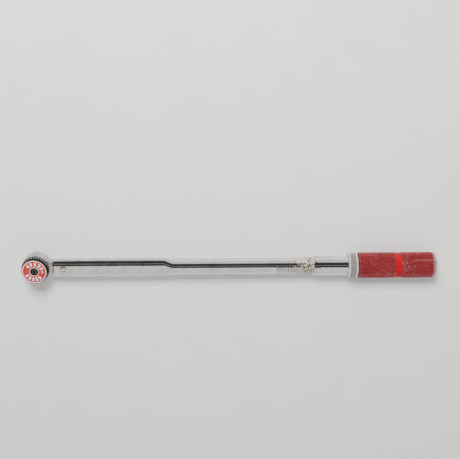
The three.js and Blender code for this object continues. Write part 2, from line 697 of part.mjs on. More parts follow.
// ---------------------------------------------------------------- thimble, grip and lock
function screwPinHole() {
  const reach = SCREW_PIN.half + 2;
  return rod(SCREW_PIN.radius + PRESS_GAP, -reach, reach, 'y', FACETS.small).translate([SCREW_PIN.x, 0, 0]);
}

function adjustingScrew() {
  const { front, rear, radius } = SCREW;
  const body = turned([
    [0, front], [radius - 0.8, front], [radius, front + 0.8],
    [radius, rear - 0.8], [radius - 0.8, rear], [0, rear],
  ], 'x', FACETS.medium);
  return piece('adjusting_screw', cut(body, thrustBallRoom(0.35), screwPinHole()), FINISHES.steel);
}

function handlePlug() {
  const body = ring(PLUG.bore, PLUG.radius, PLUG.front, PLUG.rear, 'x', FACETS.medium);
  return piece('handle_plug', cut(body, screwPinHole()), FINISHES.steel);
}

function screwPin() {
  const solid = rod(SCREW_PIN.radius, -SCREW_PIN.half, SCREW_PIN.half, 'y', FACETS.small);
  return piece('screw_pin', solid.translate([SCREW_PIN.x, 0, 0]), FINISHES.steel);
}

function lockBallHole(degrees) {
  const hole = rod(LOCK_BALL.radius + PRESS_GAP, THIMBLE.inner - 1, THIMBLE.outer + 1, 'z', FACETS.small);
  return hole.rotate([degrees, 0, 0]).translate([LOCK_BALL.x, 0, 0]);
}

function grooveTool(floor, front, rear) {
  return ring(floor, THIMBLE.outer + 1, front, rear, 'x', FACETS.large);
}

function thimble() {
  const { front, rear, inner, outer, noseBevel } = THIMBLE;
  const body = turned([
    [inner, front], [outer - noseBevel, front], [outer - 0.25, front + 0.5], [outer, front + 1.2],
    [outer, rear], [inner, rear],
  ], 'x', FACETS.large);
  const tools = [
    grooveTool(LOCK_CLIP.inner - RUNNING_GAP, LOCK_CLIP.front - 0.1, LOCK_CLIP.rear + 0.1),
    grooveTool(O_RING.inner - RUNNING_GAP, O_RING.front - 0.2, O_RING.rear + 0.2),
    screwPinHole(),
    ...LOCK_BALL.angles.map(lockBallHole),
  ];
  return piece('thimble', cut(body, ...tools), FINISHES.chrome);
}

function lockRing() {
  const { front, rear, radius, bandRadius, bore } = LOCK_RING;
  const { x } = LOCK_BALL;
  const rim = (edge, inward) => [
    [radius - 0.7, edge], [radius, edge + inward * 0.9], [radius, edge + inward * 1.8],
    [bandRadius, edge + inward * 2.3],
  ];
  const outside = [...rim(front, 1), ...rim(rear, -1).reverse()];
  const inside = [
    [bore, rear], [bore, x + 2.3], [15.9, x + 2], [15.9, x - 0.9], [15.2, x - 1.42], [15.2, x - 3.15],
    [bore, x - 3.2], [bore, front + 1.5], [15.6, front + 1.5], [15.6, front],
  ];
  return piece('lock_ring', turned([...outside, ...inside], 'x', FACETS.large), FINISHES.satinChrome);
}

function lockBall(name, degrees) {
  const [y, z] = polar(LOCK_BALL.orbit, 90 + degrees);
  return piece(name, ball(LOCK_BALL.radius, LOCK_BALL.x, y, z), FINISHES.steel);
}

function lockClip() {
  const { front, rear, inner, outer, mouth } = LOCK_CLIP;
  const full = ring(inner, outer, front, rear, 'x', 36);
  const opening = block(front - 1, rear + 1, -mouth, mouth, -20, 0);
  return piece('lock_clip', cut(full, opening), FINISHES.springSteel);
}

function oRing() {
  const { front, rear, inner, outer } = O_RING;
  const middle = (front + rear) / 2;
  const solid = turned([
    [inner, middle - 0.3], [inner, middle + 0.3], [(inner + outer) / 2, rear],
    [outer, middle + 0.3], [outer, middle - 0.3], [(inner + outer) / 2, front],
  ], 'x', 36);
  return piece('lock_o_ring', solid, FINISHES.rubber);
}

function gripSleeve() {
  const { front, rear, radius, bore, bandFront, bandRear } = GRIP;
  const bandRadius = radius - GRIP_BAND_DEPTH;
  const profile = [
    [bore, front], [radius - 1, front], [radius, front + 0.8],
    [radius, bandFront - 0.3], [bandRadius, bandFront], [bandRadius, bandRear], [radius, bandRear + 0.3],
    [radius, rear - 0.8], [radius - 0.6, rear], [bore, rear],
  ];
  return piece('grip_sleeve', turned(profile, 'x', FACETS.large), FINISHES.redGrip);
}

function endCap() {
  const { front, seat, rear, radius, spigot } = END_CAP;
  const profile = [
    [0, front], [spigot - 0.6, front], [spigot, front + 0.6], [spigot, seat],
    [radius, seat], [radius - 0.4, seat + 1.5], [radius - 1.8, rear - 0.5], [radius - 4, rear], [0, rear],
  ];
  return piece('end_cap', turned(profile, 'x', FACETS.large), FINISHES.bareAluminium);
}

// ---------------------------------------------------------------- whole wrench
const wrench = assembly(
  'torque_wrench',
  assembly('tube', mainTube(), pivotPin()),
  assembly('nut', adjustingNut(), nutPin('nut_pin_left', 1), nutPin('nut_pin_right', -1)),
  assembly('head', ratchetHead(), coverPlate(), snapRing(), thrustWasher(), pawlPin(), pawl()),
  assembly('drive', ratchetGear(), socketBall(), socketBallSpring()),
  assembly('dial', reverseDial(), dialLabel(), shiftPin()),
  assembly('dial_mounting', dialScrew(), dialWasher(), dialDetentBall(), dialDetentSpring()),
  assembly('release', camBlock(), plunger(), mainSpring(), rearSpringSeat(), thrustBall()),
  assembly('handle', thimble(), adjustingScrew(), handlePlug(), screwPin(), gripSleeve(), endCap()),
  assembly('lock', lockRing(), lockClip(), oRing()),
  assembly('lock_balls', ...LOCK_BALL.angles.map((degrees, i) => lockBall(`lock_ball_${i + 1}`, degrees))),
);
wrench.position.z = AXIS_HEIGHT;

export default wrench;
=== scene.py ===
"""Looks of a half-inch click torque wrench: chrome tube, ratchet head, scaled thimble, red grip.

Shapes are worked out in millimetres and put into the meshes in metres. The tube runs along X,
the drive points down Z, and angles about the tube start at the top and grow towards +Y.
"""

import math
from functools import partial

import bpy
import numpy as np
from mathutils import Matrix, Vector


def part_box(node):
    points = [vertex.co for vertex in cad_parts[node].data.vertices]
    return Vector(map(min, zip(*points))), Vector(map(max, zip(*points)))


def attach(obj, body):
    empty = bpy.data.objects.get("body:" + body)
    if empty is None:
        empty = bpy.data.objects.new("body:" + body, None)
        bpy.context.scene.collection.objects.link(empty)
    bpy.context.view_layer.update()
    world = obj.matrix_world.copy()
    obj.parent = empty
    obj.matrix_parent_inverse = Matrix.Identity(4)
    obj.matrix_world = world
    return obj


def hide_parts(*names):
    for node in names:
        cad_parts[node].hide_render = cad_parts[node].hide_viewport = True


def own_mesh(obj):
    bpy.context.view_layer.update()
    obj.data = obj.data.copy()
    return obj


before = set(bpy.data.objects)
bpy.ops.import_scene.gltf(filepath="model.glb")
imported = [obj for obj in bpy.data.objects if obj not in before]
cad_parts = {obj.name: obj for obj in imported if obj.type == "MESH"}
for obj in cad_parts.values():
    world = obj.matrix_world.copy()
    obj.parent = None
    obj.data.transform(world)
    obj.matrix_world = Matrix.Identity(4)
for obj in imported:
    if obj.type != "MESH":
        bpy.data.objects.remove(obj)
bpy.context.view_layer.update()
MM = 0.001
TURN = 2 * math.pi


def span(node):
    """Lowest and highest corner of a CAD node, in millimetres."""
    low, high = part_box(node)
    return np.array(low) / MM, np.array(high) / MM


# ------ sizes, in millimetres
TUBE_LOW, TUBE_HIGH = span("main_tube")
THIMBLE_LOW, THIMBLE_HIGH = span("thimble")
RING_LOW, RING_HIGH = span("lock_ring")
GRIP_LOW, GRIP_HIGH = span("grip_sleeve")
CAP_LOW, CAP_HIGH = span("end_cap")
DIAL_LOW, DIAL_HIGH = span("reverse_dial")
LABEL_LOW, LABEL_HIGH = span("dial_label")
SCREW_LOW, SCREW_HIGH = span("dial_screw")
PIN_LOW, PIN_HIGH = span("pivot_pin")
COIL_LOW, COIL_HIGH = span("main_spring")
BALL_LOW, BALL_HIGH = span("socket_ball")
HEAD_REAR = span("ratchet_head")[1][0]
GEAR_TOP = span("ratchet_gear")[1][2]

AXIS_Z = (THIMBLE_LOW[2] + THIMBLE_HIGH[2]) / 2
PIN_X = (PIN_LOW[0] + PIN_HIGH[0]) / 2
PIN_RADIUS = (PIN_HIGH[0] - PIN_LOW[0]) / 2
THIMBLE_RADIUS = (THIMBLE_HIGH[1] - THIMBLE_LOW[1]) / 2
RING_RADIUS = (RING_HIGH[1] - RING_LOW[1]) / 2
GRIP_RADIUS = (GRIP_HIGH[1] - GRIP_LOW[1]) / 2

# the tube: round behind, pressed to two crowned flats in front, with flutes for the lock balls
TUBE_RADIUS, TUBE_BORE = 11.9, 9.9
FLAT_HALF_WIDTH, FLAT_HALF_HEIGHT = 14.0, 8.5
FLAT_CROWN, FLAT_BORE_CORNER = 14.4, 8.4
FLAT_END, ROUND_START = 185.7, 202.6
FLUTES = {"start": 411.0, "count": 6, "orbit": 13.2, "radius": 2.1}
# the engraved scale: one long mark for every two turns of the adjusting screw
SCALE_START, SCALE_END = 353.6, 470.0
SCREW_LEAD = 25.4 / 12
SCALE_STEP = 2 * SCREW_LEAD
INDEX_ANGLE, NUMERAL_ANGLE = 0.12, 0.34
# the ratchet head and its dial
HOUSING_RADIUS, HOUSING_TOP, HOUSING_BOTTOM = 21.0, 8.7, 10.0
GEAR_TEETH, DIAL_RIBS = 36, 36
SKIRT_HEIGHT, SKIRT_TAPER = 5.4, 0.293
# the knurled sleeves
SLEEVE_BORE, KNURL_DEPTH = 14.3, 0.38
BAND_FRONT, BAND_REAR = 526.9, 536.2


# ------ surfaces
def shell(points, closed_profile=False, knurled_from=None):
    """Faces of a (rows, columns, 3) grid whose columns close on themselves.

    Each face joins neighbouring rows and columns. The rows close on themselves too, or end in two
    flat caps. With knurled_from, the row where a knurl starts, squares are split into triangles
    along the knurl's grooves.
    """
    rows, columns = points.shape[:2]
    last = rows if closed_profile else rows - 1
    row, column = np.meshgrid(np.arange(last), np.arange(columns), indexing="ij")
    below, right = (row + 1) % rows, (column + 1) % columns
    a, b = row * columns + column, row * columns + right
    c, d = below * columns + right, below * columns + column
    if knurled_from is None:
        faces = [np.stack([a, b, c, d], -1).reshape(-1, 4)]
    else:
        in_groove = ((row - knurled_from + column) % 4 == 1)[..., None]
        first = np.where(in_groove, np.stack([a, b, d], -1), np.stack([a, b, c], -1))
        second = np.where(in_groove, np.stack([b, c, d], -1), np.stack([a, c, d], -1))
        faces = [first.reshape(-1, 3), second.reshape(-1, 3)]
    if not closed_profile:
        ring = np.arange(columns)
        faces += [ring[::-1][None, :], (ring + (rows - 1) * columns)[None, :]]
    return points.reshape(-1, 3), faces


def enclosed(vertices, faces):
    """Signed volume: a sixth of the sum of corner triple products over each face's fan."""
    total = 0.0
    for block in faces:
        first = vertices[block[:, 0]]
        for k in range(1, block.shape[1] - 1):
            normal = np.cross(vertices[block[:, k]], vertices[block[:, k + 1]])
            total += np.einsum("ij,ij->", first, normal)
    return total / 6


def add_object(name, data):
    """A new object in the scene, at the origin."""
    item = bpy.data.objects.new(name, data)
    bpy.context.scene.collection.objects.link(item)
    return item


def add_piece(name, body, material, shells, replaces=(), sharp=32):
    """Puts shells into one mesh, turned outwards, smooth up to a sharp angle in degrees."""
    vertices, loops, sizes, offset = [], [], [], 0
    for points, faces in shells:
        outward = enclosed(points - points.mean(0), faces) > 0
        for block in faces:
            turned_block = block if outward else block[:, ::-1]
            loops.append((turned_block + offset).reshape(-1))
            sizes.append(np.full(len(block), block.shape[1]))
        vertices.append(points)
        offset += len(points)
    vertices = np.concatenate(vertices) * MM
    loops, sizes = np.concatenate(loops), np.concatenate(sizes)
    starts = np.concatenate([[0], np.cumsum(sizes)[:-1]])
    mesh = bpy.data.meshes.new(name)
    mesh.vertices.add(len(vertices))
    mesh.vertices.foreach_set("co", vertices.astype(np.float32).reshape(-1))
    mesh.loops.add(len(loops))
    mesh.loops.foreach_set("vertex_index", loops.astype(np.int32))
    mesh.polygons.add(len(sizes))
    mesh.polygons.foreach_set("loop_start", starts.astype(np.int32))
    mesh.polygons.foreach_set("loop_total", sizes.astype(np.int32))
    mesh.update(calc_edges=True)
    mesh.shade_smooth()
    mesh.set_sharp_from_angle(angle=math.radians(sharp))
    mesh.materials.append(material)
    piece = add_object(name, mesh)
    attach(piece, body)
    if replaces:
        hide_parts(*replaces)
    return piece


def around_x(along, radius, angle):
    """Points at distance radius from the tube's axis, at an angle from its top towards +Y."""
    along, radius, angle = np.broadcast_arrays(along, radius, angle)
    return np.stack([along, radius * np.sin(angle), AXIS_Z + radius * np.cos(angle)], -1)


def around_z(radius, angle, height, centre_x=0.0):
    """Points at distance radius from an upright axis, at an angle from +X, at a height."""
    radius, angle, height = np.broadcast_arrays(radius, angle, height)
    return np.stack([centre_x + radius * np.cos(angle), radius * np.sin(angle), height], -1)


def columns_of(count):
    """Equal steps of one whole turn."""
    return np.arange(count) * TURN / count


def stepped(stops, step):
    """A line through the stops, with extra points no further apart than step."""
    stops = np.array(stops, float)
    parts = [stops[:1]]
    for start, end in zip(stops[:-1], stops[1:]):
        count = max(1, int(np.ceil(np.linalg.norm(end - start) / step)))
        share = np.arange(1, count + 1)[:, None] / count
        parts.append(start + (end - start) * share)
    return np.concatenate(parts)


def rounded(stops, radius, steps):
    """The line through the stops, with each inner corner made a quadratic curve.

    The curve starts radius before the corner and ends radius after it.
    """
    stops = np.array(stops, float)
    out = [stops[0]]
    for before, corner, after in zip(stops[:-2], stops[1:-1], stops[2:]):
        reach = [min(radius, 0.45 * np.linalg.norm(corner - end)) for end in (before, after)]
        start = corner + (before - corner) / np.linalg.norm(before - corner) * reach[0]
        end = corner + (after - corner) / np.linalg.norm(after - corner) * reach[1]
        t = np.linspace(0, 1, steps)[:, None]
        out.extend((1 - t) ** 2 * start + 2 * t * (1 - t) * corner + t**2 * end)
    out.append(stops[-1])
    return np.array(out)


def turned_x(profile, count, closed=True):
    """A solid turned about the tube's axis from (along, radius) stops."""
    points = around_x(profile[:, :1], profile[:, 1:], columns_of(count))
    return shell(points, closed_profile=closed)


def turned_z(profile, count, closed=True, centre_x=0.0):
    """A solid turned about an upright axis from (radius, height) stops."""
    points = around_z(profile[:, :1], columns_of(count), profile[:, 1:], centre_x)
    return shell(points, closed_profile=closed)


def quarters(per_corner):
    """Places around a loop, counted in quarter turns, the quarter each is in, and its two signs."""
    step = (np.arange(4 * per_corner) + 0.5) / per_corner
    quarter = np.floor(step).astype(int)
    return step, quarter, np.array([[1, -1, -1, 1], [1, 1, -1, -1]])[:, quarter]


def rounded_loop(half_width, half_height, corner, per_corner):
    """(across, up) points around a rectangle whose corners are arcs."""
    step, _, side = quarters(per_corner)
    angle = step * math.pi / 2
    across = side[0] * (half_width - corner) + corner * np.cos(angle)
    up = side[1] * (half_height - corner) + corner * np.sin(angle)
    return np.stack([across, up], -1)


def crowned_loop(half_width, half_height, crown, per_corner):
    """(across, up) points around a section whose quarters are a flat, a wide arc and a tight arc.

    The wide arc has the crown radius and turns 45 degrees. The tight arc's radius and the flat's
    length follow from the height and the width. With all three equal the loop is a circle.
    """
    half_turn = math.sqrt(0.5)
    tight = (half_height - crown * (1 - half_turn)) / half_turn
    flat = half_width - crown * half_turn - tight * (1 - half_turn)
    step, quarter, side = quarters(per_corner)
    angle = np.abs(step - quarter - np.array([0, 1, 0, 1])[quarter]) * math.pi / 2
    on_side = angle < math.pi / 4
    cos, sin = np.cos(angle), np.sin(angle)
    across = np.where(on_side, half_width - tight * (1 - cos), flat + crown * cos)
    up = np.where(on_side, tight * sin, half_height - crown * (1 - sin))
    return np.stack([side[0] * across, side[1] * up], -1)


def smoothstep(t):
    """From 0 to 1 with level ends: three t squared less two t cubed."""
    t = np.clip(t, 0, 1)
    return t * t * (3 - 2 * t)


# ------ materials
# kinds of noise: broad lumps, clouds, and grain with crisp fine detail
BROAD = {"Detail": 3.0, "Roughness": 0.55}
CLOUDY = {"Detail": 4.0, "Roughness": 0.55}
GRAINY = {"Detail": 4.0, "Roughness": 0.7}
COLOURS = {"data_type": "RGBA", "out": 2}


def linear(hex_colour):
    """An sRGB hex colour as linear red, green, blue and alpha."""
    values = [int(hex_colour[i : i + 2], 16) / 255 for i in (1, 3, 5)]
    return (*[v / 12.92 if v <= 0.04045 else ((v + 0.055) / 1.055) ** 2.4 for v in values], 1.0)


def fill(tree, node, sockets):
    """Fills a node's sockets: an output becomes a link, the rest are values or hex colours."""
    for key, value in sockets.items():
        if isinstance(value, bpy.types.NodeSocket):
            tree.links.new(value, node.inputs[key])
        else:
            node.inputs[key].default_value = linear(value) if isinstance(value, str) else value


def add(tree, kind, *values, stops=(), out=0, **named):
    """Adds one node and gives back one of its outputs, or all of them if out is None.

    Values fill its sockets in order, or by number from a dictionary. Names with a capital are
    sockets and the others settings. Stops fill a colour ramp.
    """
    node = tree.nodes.new("ShaderNode" + kind)
    sockets = dict(values[0] if values and isinstance(values[0], dict) else enumerate(values))
    for key, value in named.items():
        if key[0].isupper():
            sockets[key] = value
        else:
            setattr(node, key, value)
    fill(tree, node, sockets)
    if stops:
        elements = node.color_ramp.elements
        while len(elements) < len(stops):
            elements.new(0.5)
        for element, (position, colour) in zip(elements, stops):
            element.position = position
            element.color = linear(colour) if isinstance(colour, str) else (*[colour] * 3, 1)
    return node.outputs if out is None else node.outputs[out]


def start_material(name):
    """A fresh material, the add function for its tree, and its Object coordinates."""
    material = bpy.data.materials.new(name)
    material.use_nodes = True
    node = partial(add, material.node_tree)
    return material, node, node("TexCoord", out="Object")


def finish(material, colour, rough, relief, strength, depth=0.2, **sockets):
    """Fills the shader's sockets, as metal unless told, with relief so many millimetres deep.

    Rough is an output, or a noise and the roughness at its low and high ends. An underscore in a
    socket's name stands for a space.
    """
    tree = material.node_tree
    if isinstance(rough, tuple):
        rough = add(tree, "MapRange", rough[0], 0.3, 0.7, *rough[1:])
    bump = add(tree, "Bump", Height=relief, Strength=strength, Distance=depth * MM)
    common = {"Base Color": colour, "Roughness": rough, "Normal": bump, "Metallic": 1.0}
    named = {key.replace("_", " "): value for key, value in sockets.items()}
    fill(tree, tree.nodes["Principled BSDF"], {**common, **named})
    return material


def hypotenuse(node, a, b):
    """The square root of a squared plus b squared."""
    squares = node("Math", b, b, operation="MULTIPLY")
    squares = node("Math", a, a, squares, operation="MULTIPLY_ADD")
    return node("Math", squares, operation="SQRT")


def tube_place(node, coordinates):
    """Distance along the tube, distance from its axis and angle from its top."""
    parts = node("SeparateXYZ", coordinates, out=None)
    up = node("Math", parts["Z"], AXIS_Z * MM, operation="SUBTRACT")
    angle = node("Math", parts["Y"], up, operation="ARCTAN2")
    return parts["X"], hypotenuse(node, parts["Y"], up), angle


def band_mask(node, value, low, high, soft):
    """One between low and high, falling to zero over soft outside them."""
    rise = node("MapRange", value, low - soft, low, 0.0, 1.0)
    fall = node("MapRange", value, high, high + soft, 1.0, 0.0)
    return node("Math", rise, fall, operation="MULTIPLY")


def tick_lines(node, value, start, step, width):
    """One on thin lines that repeat every step from start."""
    shifted = node("Math", value, start, operation="SUBTRACT")
    shifted = node("Math", shifted, step, operation="DIVIDE")
    nearest = node("Math", shifted, operation="ROUND")
    offset = node("Math", shifted, nearest, operation="SUBTRACT")
    offset = node("Math", offset, operation="ABSOLUTE")
    return node("Math", offset, width / step / 2, operation="LESS_THAN")


def scale_marks(node, along, angle):
    """The tube's scale: an index line, long marks up to it, and short ones halfway between."""
    marks = node("Math", angle, INDEX_ANGLE, operation="SUBTRACT")
    marks = node("Math", marks, operation="ABSOLUTE")
    marks = node("Math", marks, 0.018, operation="LESS_THAN")
    half_step = SCALE_START + SCALE_STEP / 2
    for start, width, from_angle in ((SCALE_START, 1.1, -1.15), (half_step, 0.5, -0.55)):
        lines = tick_lines(node, along, start * MM, SCALE_STEP * MM, width * MM)
        reach = band_mask(node, angle, from_angle, INDEX_ANGLE, 0.01)
        lines = node("Math", lines, reach, operation="MULTIPLY")
        marks = node("Math", marks, lines, operation="MAXIMUM")
    inside = band_mask(node, along, (SCALE_START - 0.4) * MM, SCALE_END * MM, 0.1 * MM)
    return node("Math", marks, inside, operation="MULTIPLY")


def thimble_marks(node, along, radius, angle):
    """Twenty axial lines around the thimble's front edge, every other one longer."""
    marks, start = 0.0, (THIMBLE_LOW[0] + 0.8) * MM
    for count, width, length in ((20, 0.07, 3.6), (10, 0.08, 5.8)):
        lines = tick_lines(node, angle, INDEX_ANGLE, TURN / count, width)
        reach = band_mask(node, along, start, (THIMBLE_LOW[0] + length) * MM, 0.1 * MM)
        lines = node("Math", lines, reach, operation="MULTIPLY")
        marks = node("Math", marks, lines, operation="MAXIMUM")
    outside = node("Math", radius, (THIMBLE_RADIUS - 0.4) * MM, operation="GREATER_THAN")
    return node("Math", marks, outside, operation="MULTIPLY")


def rust_bloom(node, place, along):
    """Rust gathered in front of the thimble, in grains of 0.3 to 2 mm: its mask and its colour."""
    grain = node("TexNoise", Vector=place, Scale=0.55 / MM, Detail=2.0, Roughness=0.6)
    reach = node("MapRange", along, 366 * MM, 397 * MM, 0.0, 1.0)
    gate = node("MapRange", reach, 0.0, 1.0, 0.7, 0.44)
    over = node("Math", grain, gate, operation="SUBTRACT")
    mask = node("MapRange", over, 0.0, 0.03, 0.0, 1.0)
    begun = node("Math", reach, 0.0, operation="GREATER_THAN")
    mask = node("Math", mask, begun, operation="MULTIPLY")
    tone = node("TexNoise", Vector=place, Scale=0.5 / MM, Detail=1.0, Roughness=0.5)
    stops = [(0.42, "#171006"), (0.5, "#6d582d"), (0.58, "#e6dfc5")]
    return mask, node("ValToRGB", tone, stops=stops)


def polished_chrome(name, on_tube):
    """Nickel-chrome plate, polished: a mirror with hairline scratches, dents and tiny pits.

    The tube also has its rust and its filled scale, the thimble its filled lines.
    """
    material, node, place = start_material(name)
    along, radius, angle = tube_place(node, place)
    # hairlines 0.1 mm wide and 20 mm long, drawn along the tube
    drawn = node("Mapping", Vector=place, Scale=(0.05, 1, 1))
    hair = node("TexNoise", Vector=drawn, Scale=8.0 / MM, **GRAINY)
    cloud = node("TexNoise", Vector=place, Scale=0.06 / MM, **CLOUDY)
    # pits of about 0.5 mm where the plate has started to lift
    cells = node("TexVoronoi", Vector=place, Scale=0.7 / MM)
    lifted = node("TexNoise", Vector=place, Scale=0.035 / MM, Detail=2.0, Roughness=0.55)
    lifted = node("Math", lifted, 0.54, operation="GREATER_THAN")
    pits = node("Math", cells, 0.13, operation="LESS_THAN")
    pits = node("Math", pits, lifted, operation="MULTIPLY")
    stain = node("Math", pits, 0.55, operation="MULTIPLY")
    plate = node("ValToRGB", cloud, stops=[(0.3, "#d2cfcc"), (0.7, "#e3e1de")])
    colour = node("Mix", {0: stain, 6: plate, 7: "#4d4640"}, **COLOURS)
    rough = node("MapRange", hair, 0.35, 0.75, 0.07, 0.2)
    rough = node("Math", pits, 0.35, rough, operation="MULTIPLY_ADD")
    # broad dents 10 to 30 mm long, and dimples of 2 mm
    drawn = node("Mapping", Vector=place, Scale=(0.3, 1, 1))
    dents = node("TexNoise", Vector=drawn, Scale=0.09 / MM, **BROAD)
    drawn = node("Mapping", Vector=place, Scale=(0.4, 1, 1))
    dimples = node("TexNoise", Vector=drawn, Scale=0.45 / MM, **BROAD)
    height = 0.0
    for relief, share in ((hair, 0.15), (pits, -0.6), (dimples, 0.9), (dents, 2.8)):
        height = node("Math", relief, share, height, operation="MULTIPLY_ADD")
    metallic, strength, fill_colour = 1.0, 0.9, "#24211f"
    if on_tube:
        rust, brown = rust_bloom(node, place, along)
        colour = node("Mix", {0: rust, 6: colour, 7: brown}, **COLOURS)
        rough = node("Mix", {0: rust, 2: rough, 3: 0.7})
        height = node("Math", rust, 0.6, height, operation="MULTIPLY_ADD")
        metallic = node("Math", 1.0, rust, operation="SUBTRACT")
        strength, fill_colour = 0.75, "#3b3936"
        marks = scale_marks(node, along, angle)
    else:
        marks = thimble_marks(node, along, radius, angle)
    shown = node("Math", marks, strength, operation="MULTIPLY")
    colour = node("Mix", {0: shown, 6: colour, 7: fill_colour}, **COLOURS)
    rough = node("Mix", {0: marks, 2: rough, 3: 0.5})
    height = node("Math", height, marks, operation="SUBTRACT")
    return finish(material, colour, rough, height, 0.25, Metallic=metallic)


def satin_chrome():
    """Chrome plate on a bead-blasted forging: soft but bright, handled smooth, faintly dirty."""
    material, node, place = start_material("satin_chrome_plate")
    grain = node("TexNoise", Vector=place, Scale=4.0 / MM, **GRAINY)
    cloud = node("TexNoise", Vector=place, Scale=0.12 / MM, **CLOUDY)
    stops = [(0.3, "#9a958f"), (0.52, "#bdbab5"), (0.75, "#d3d1cd")]
    plate = node("ValToRGB", cloud, stops=stops)
    dirt_and_shade = node("Math", grain, 0.66, operation="GREATER_THAN")
    dirt_and_shade = node("Math", dirt_and_shade, 0.4, operation="MULTIPLY")
    colour = node("Mix", {0: dirt_and_shade, 6: plate, 7: "#5c564f"}, **COLOURS)
    return finish(material, colour, (cloud, 0.14, 0.07), grain, 0.1)


def knurled_chrome():
    """Satin chrome plate on a knurl: pale and matt, with painted shade in grey over the knurled
    band, deepest in the knurl's valleys.
    """
    material, node, place = start_material("knurled_satin_chrome")
    along, radius, _ = tube_place(node, place)
    grain = node("TexNoise", Vector=place, Scale=3.0 / MM, **GRAINY)
    cloud = node("TexNoise", Vector=place, Scale=0.15 / MM, **CLOUDY)
    valley, crest = (RING_RADIUS - 0.75) * MM, (RING_RADIUS - 0.4) * MM
    depth = node("MapRange", radius, valley, crest, 1.0, 0.0)
    rim = 2.3
    in_band = band_mask(node, along, (RING_LOW[0] + rim) * MM, (RING_HIGH[0] - rim) * MM, 0.2 * MM)
    plate = node("ValToRGB", cloud, stops=[(0.3, "#c6c2bc"), (0.7, "#e2dfdb")])
    # painted shade: grey over the knurled band, deepest in the knurl's valleys
    dirt_and_shade = node("Math", depth, 0.45, 0.5, operation="MULTIPLY_ADD")
    dirt_and_shade = node("Math", dirt_and_shade, in_band, operation="MULTIPLY")
    colour = node("Mix", {0: dirt_and_shade, 6: plate, 7: "#7f7b74"}, **COLOURS)
    return finish(material, colour, (grain, 0.5, 0.65), grain, 0.2, Metallic=0.4)


def black_oxide():
    """Hot black oxide on steel: almost black, oily, rubbed to bare steel on the ribs' crests."""
    material, node, place = start_material("black_oxide_steel")
    parts = node("SeparateXYZ", place, out=None)
    radius, height = hypotenuse(node, parts["X"], parts["Y"]), parts["Z"]
    grain = node("TexNoise", Vector=place, Scale=2.2 / MM, **GRAINY)
    # the skirt's crests lie on a cone, widest at its foot
    foot = (DIAL_HIGH[0] + SKIRT_TAPER * DIAL_LOW[2]) * MM
    cone = node("Math", height, -SKIRT_TAPER, foot, operation="MULTIPLY_ADD")
    below_crest = node("Math", cone, radius, operation="SUBTRACT")
    crest = node("MapRange", below_crest, 0.4 * MM, 0.1 * MM, 0.0, 1.0)
    on_skirt = node("Math", height, (DIAL_LOW[2] + SKIRT_HEIGHT) * MM, operation="LESS_THAN")
    rubbed = node("Math", grain, 0.4, operation="GREATER_THAN")
    for share in (crest, on_skirt, 0.55):
        rubbed = node("Math", rubbed, share, operation="MULTIPLY")
    base = node("ValToRGB", grain, stops=[(0.3, "#131214"), (0.7, "#29272a")])
    colour = node("Mix", {0: rubbed, 6: base, 7: "#a9a7a3"}, **COLOURS)
    return finish(material, colour, (grain, 0.28, 0.45), grain, 0.25)


def printed_disc(name, clean, worn):
    """Screen print under clear lacquer: flat strong colour, faintly mottled, with rubbed specks."""
    material, node, place = start_material(name)
    mottle = node("TexNoise", Vector=place, Scale=0.9 / MM, **CLOUDY)
    specks = node("TexNoise", Vector=place, Scale=3.5 / MM, **BROAD)
    faded = node("Math", mottle, 0.35, operation="MULTIPLY")
    base = node("Mix", {0: faded, 6: clean, 7: worn}, **COLOURS)
    rubbed = node("Math", specks, 0.68, operation="GREATER_THAN")
    rubbed = node("Math", rubbed, 0.5, operation="MULTIPLY")
    colour = node("Mix", {0: rubbed, 6: base, 7: "#e7c9c6"}, **COLOURS)
    lacquer = {"Coat_Weight": 0.12, "Coat_Roughness": 0.15, "Metallic": 0.0}
    return finish(material, colour, (mottle, 0.28, 0.42), specks, 0.12, 0.1, **lacquer)


def red_knurl():
    """Red anodised aluminium, knurled, years of hand wear: crests rubbed to pinkish bare metal."""
    material, node, place = start_material("red_anodised_knurl")
    along, radius, angle = tube_place(node, place)
    drawn = node("Mapping", Vector=place, Scale=(0.18, 1, 1))
    streaks = node("TexNoise", Vector=drawn, Scale=0.55 / MM, Detail=4.0, Roughness=0.65)
    patches = node("TexNoise", Vector=place, Scale=0.05 / MM, **BROAD)
    specks = node("TexNoise", Vector=place, Scale=0.6 / MM, Detail=2.0, Roughness=0.6)
    valley, crest = (GRIP_RADIUS - 0.3) * MM, (GRIP_RADIUS - 0.02) * MM
    height = node("MapRange", radius, valley, crest, 0.0, 1.0)
    stops = [(0.25, "#7e2428"), (0.5, "#9c3037"), (0.75, "#ae4850")]
    dye_and_valley_shade = node("ValToRGB", streaks, stops=stops)
    # painted shade: the dye darkened towards the knurl's valleys
    depth = node("MapRange", height, 0.0, 1.0, 0.5, 0.0)
    dye_and_valley_shade = node("Mix", {0: depth, 6: dye_and_valley_shade, 7: "#5a1015"}, **COLOURS)
    wear = node("Math", patches, 0.35, specks, operation="MULTIPLY_ADD")
    wear = node("MapRange", wear, 0.77, 0.84, 0.0, 1.0)
    wear = node("Math", wear, height, operation="MULTIPLY")
    # one long scratch near the rear end
    scratch = band_mask(node, along, 556 * MM, 583 * MM, 2 * MM)
    for share in (band_mask(node, angle, 0.768, 0.784, 0.008), 0.8):
        scratch = node("Math", scratch, share, operation="MULTIPLY")
    wear = node("Math", wear, scratch, operation="MAXIMUM")
    wear = node("Math", wear, 0.8, operation="MULTIPLY")
    # the rear edge is worn all round
    edge = node("MapRange", along, (GRIP_HIGH[0] - 3.4) * MM, GRIP_HIGH[0] * MM, 0.0, 1.0)
    edge = node("Math", edge, height, operation="MULTIPLY")
    wear = node("Math", wear, edge, operation="MAXIMUM", use_clamp=True)
    bare = node("ValToRGB", specks, stops=[(0.4, "#cfa5a2"), (0.7, "#efdedb")])
    colour = node("Mix", {0: wear, 6: dye_and_valley_shade, 7: bare}, **COLOURS)
    return finish(material, colour, (streaks, 0.5, 0.38), specks, 0.2, Metallic=0.35)


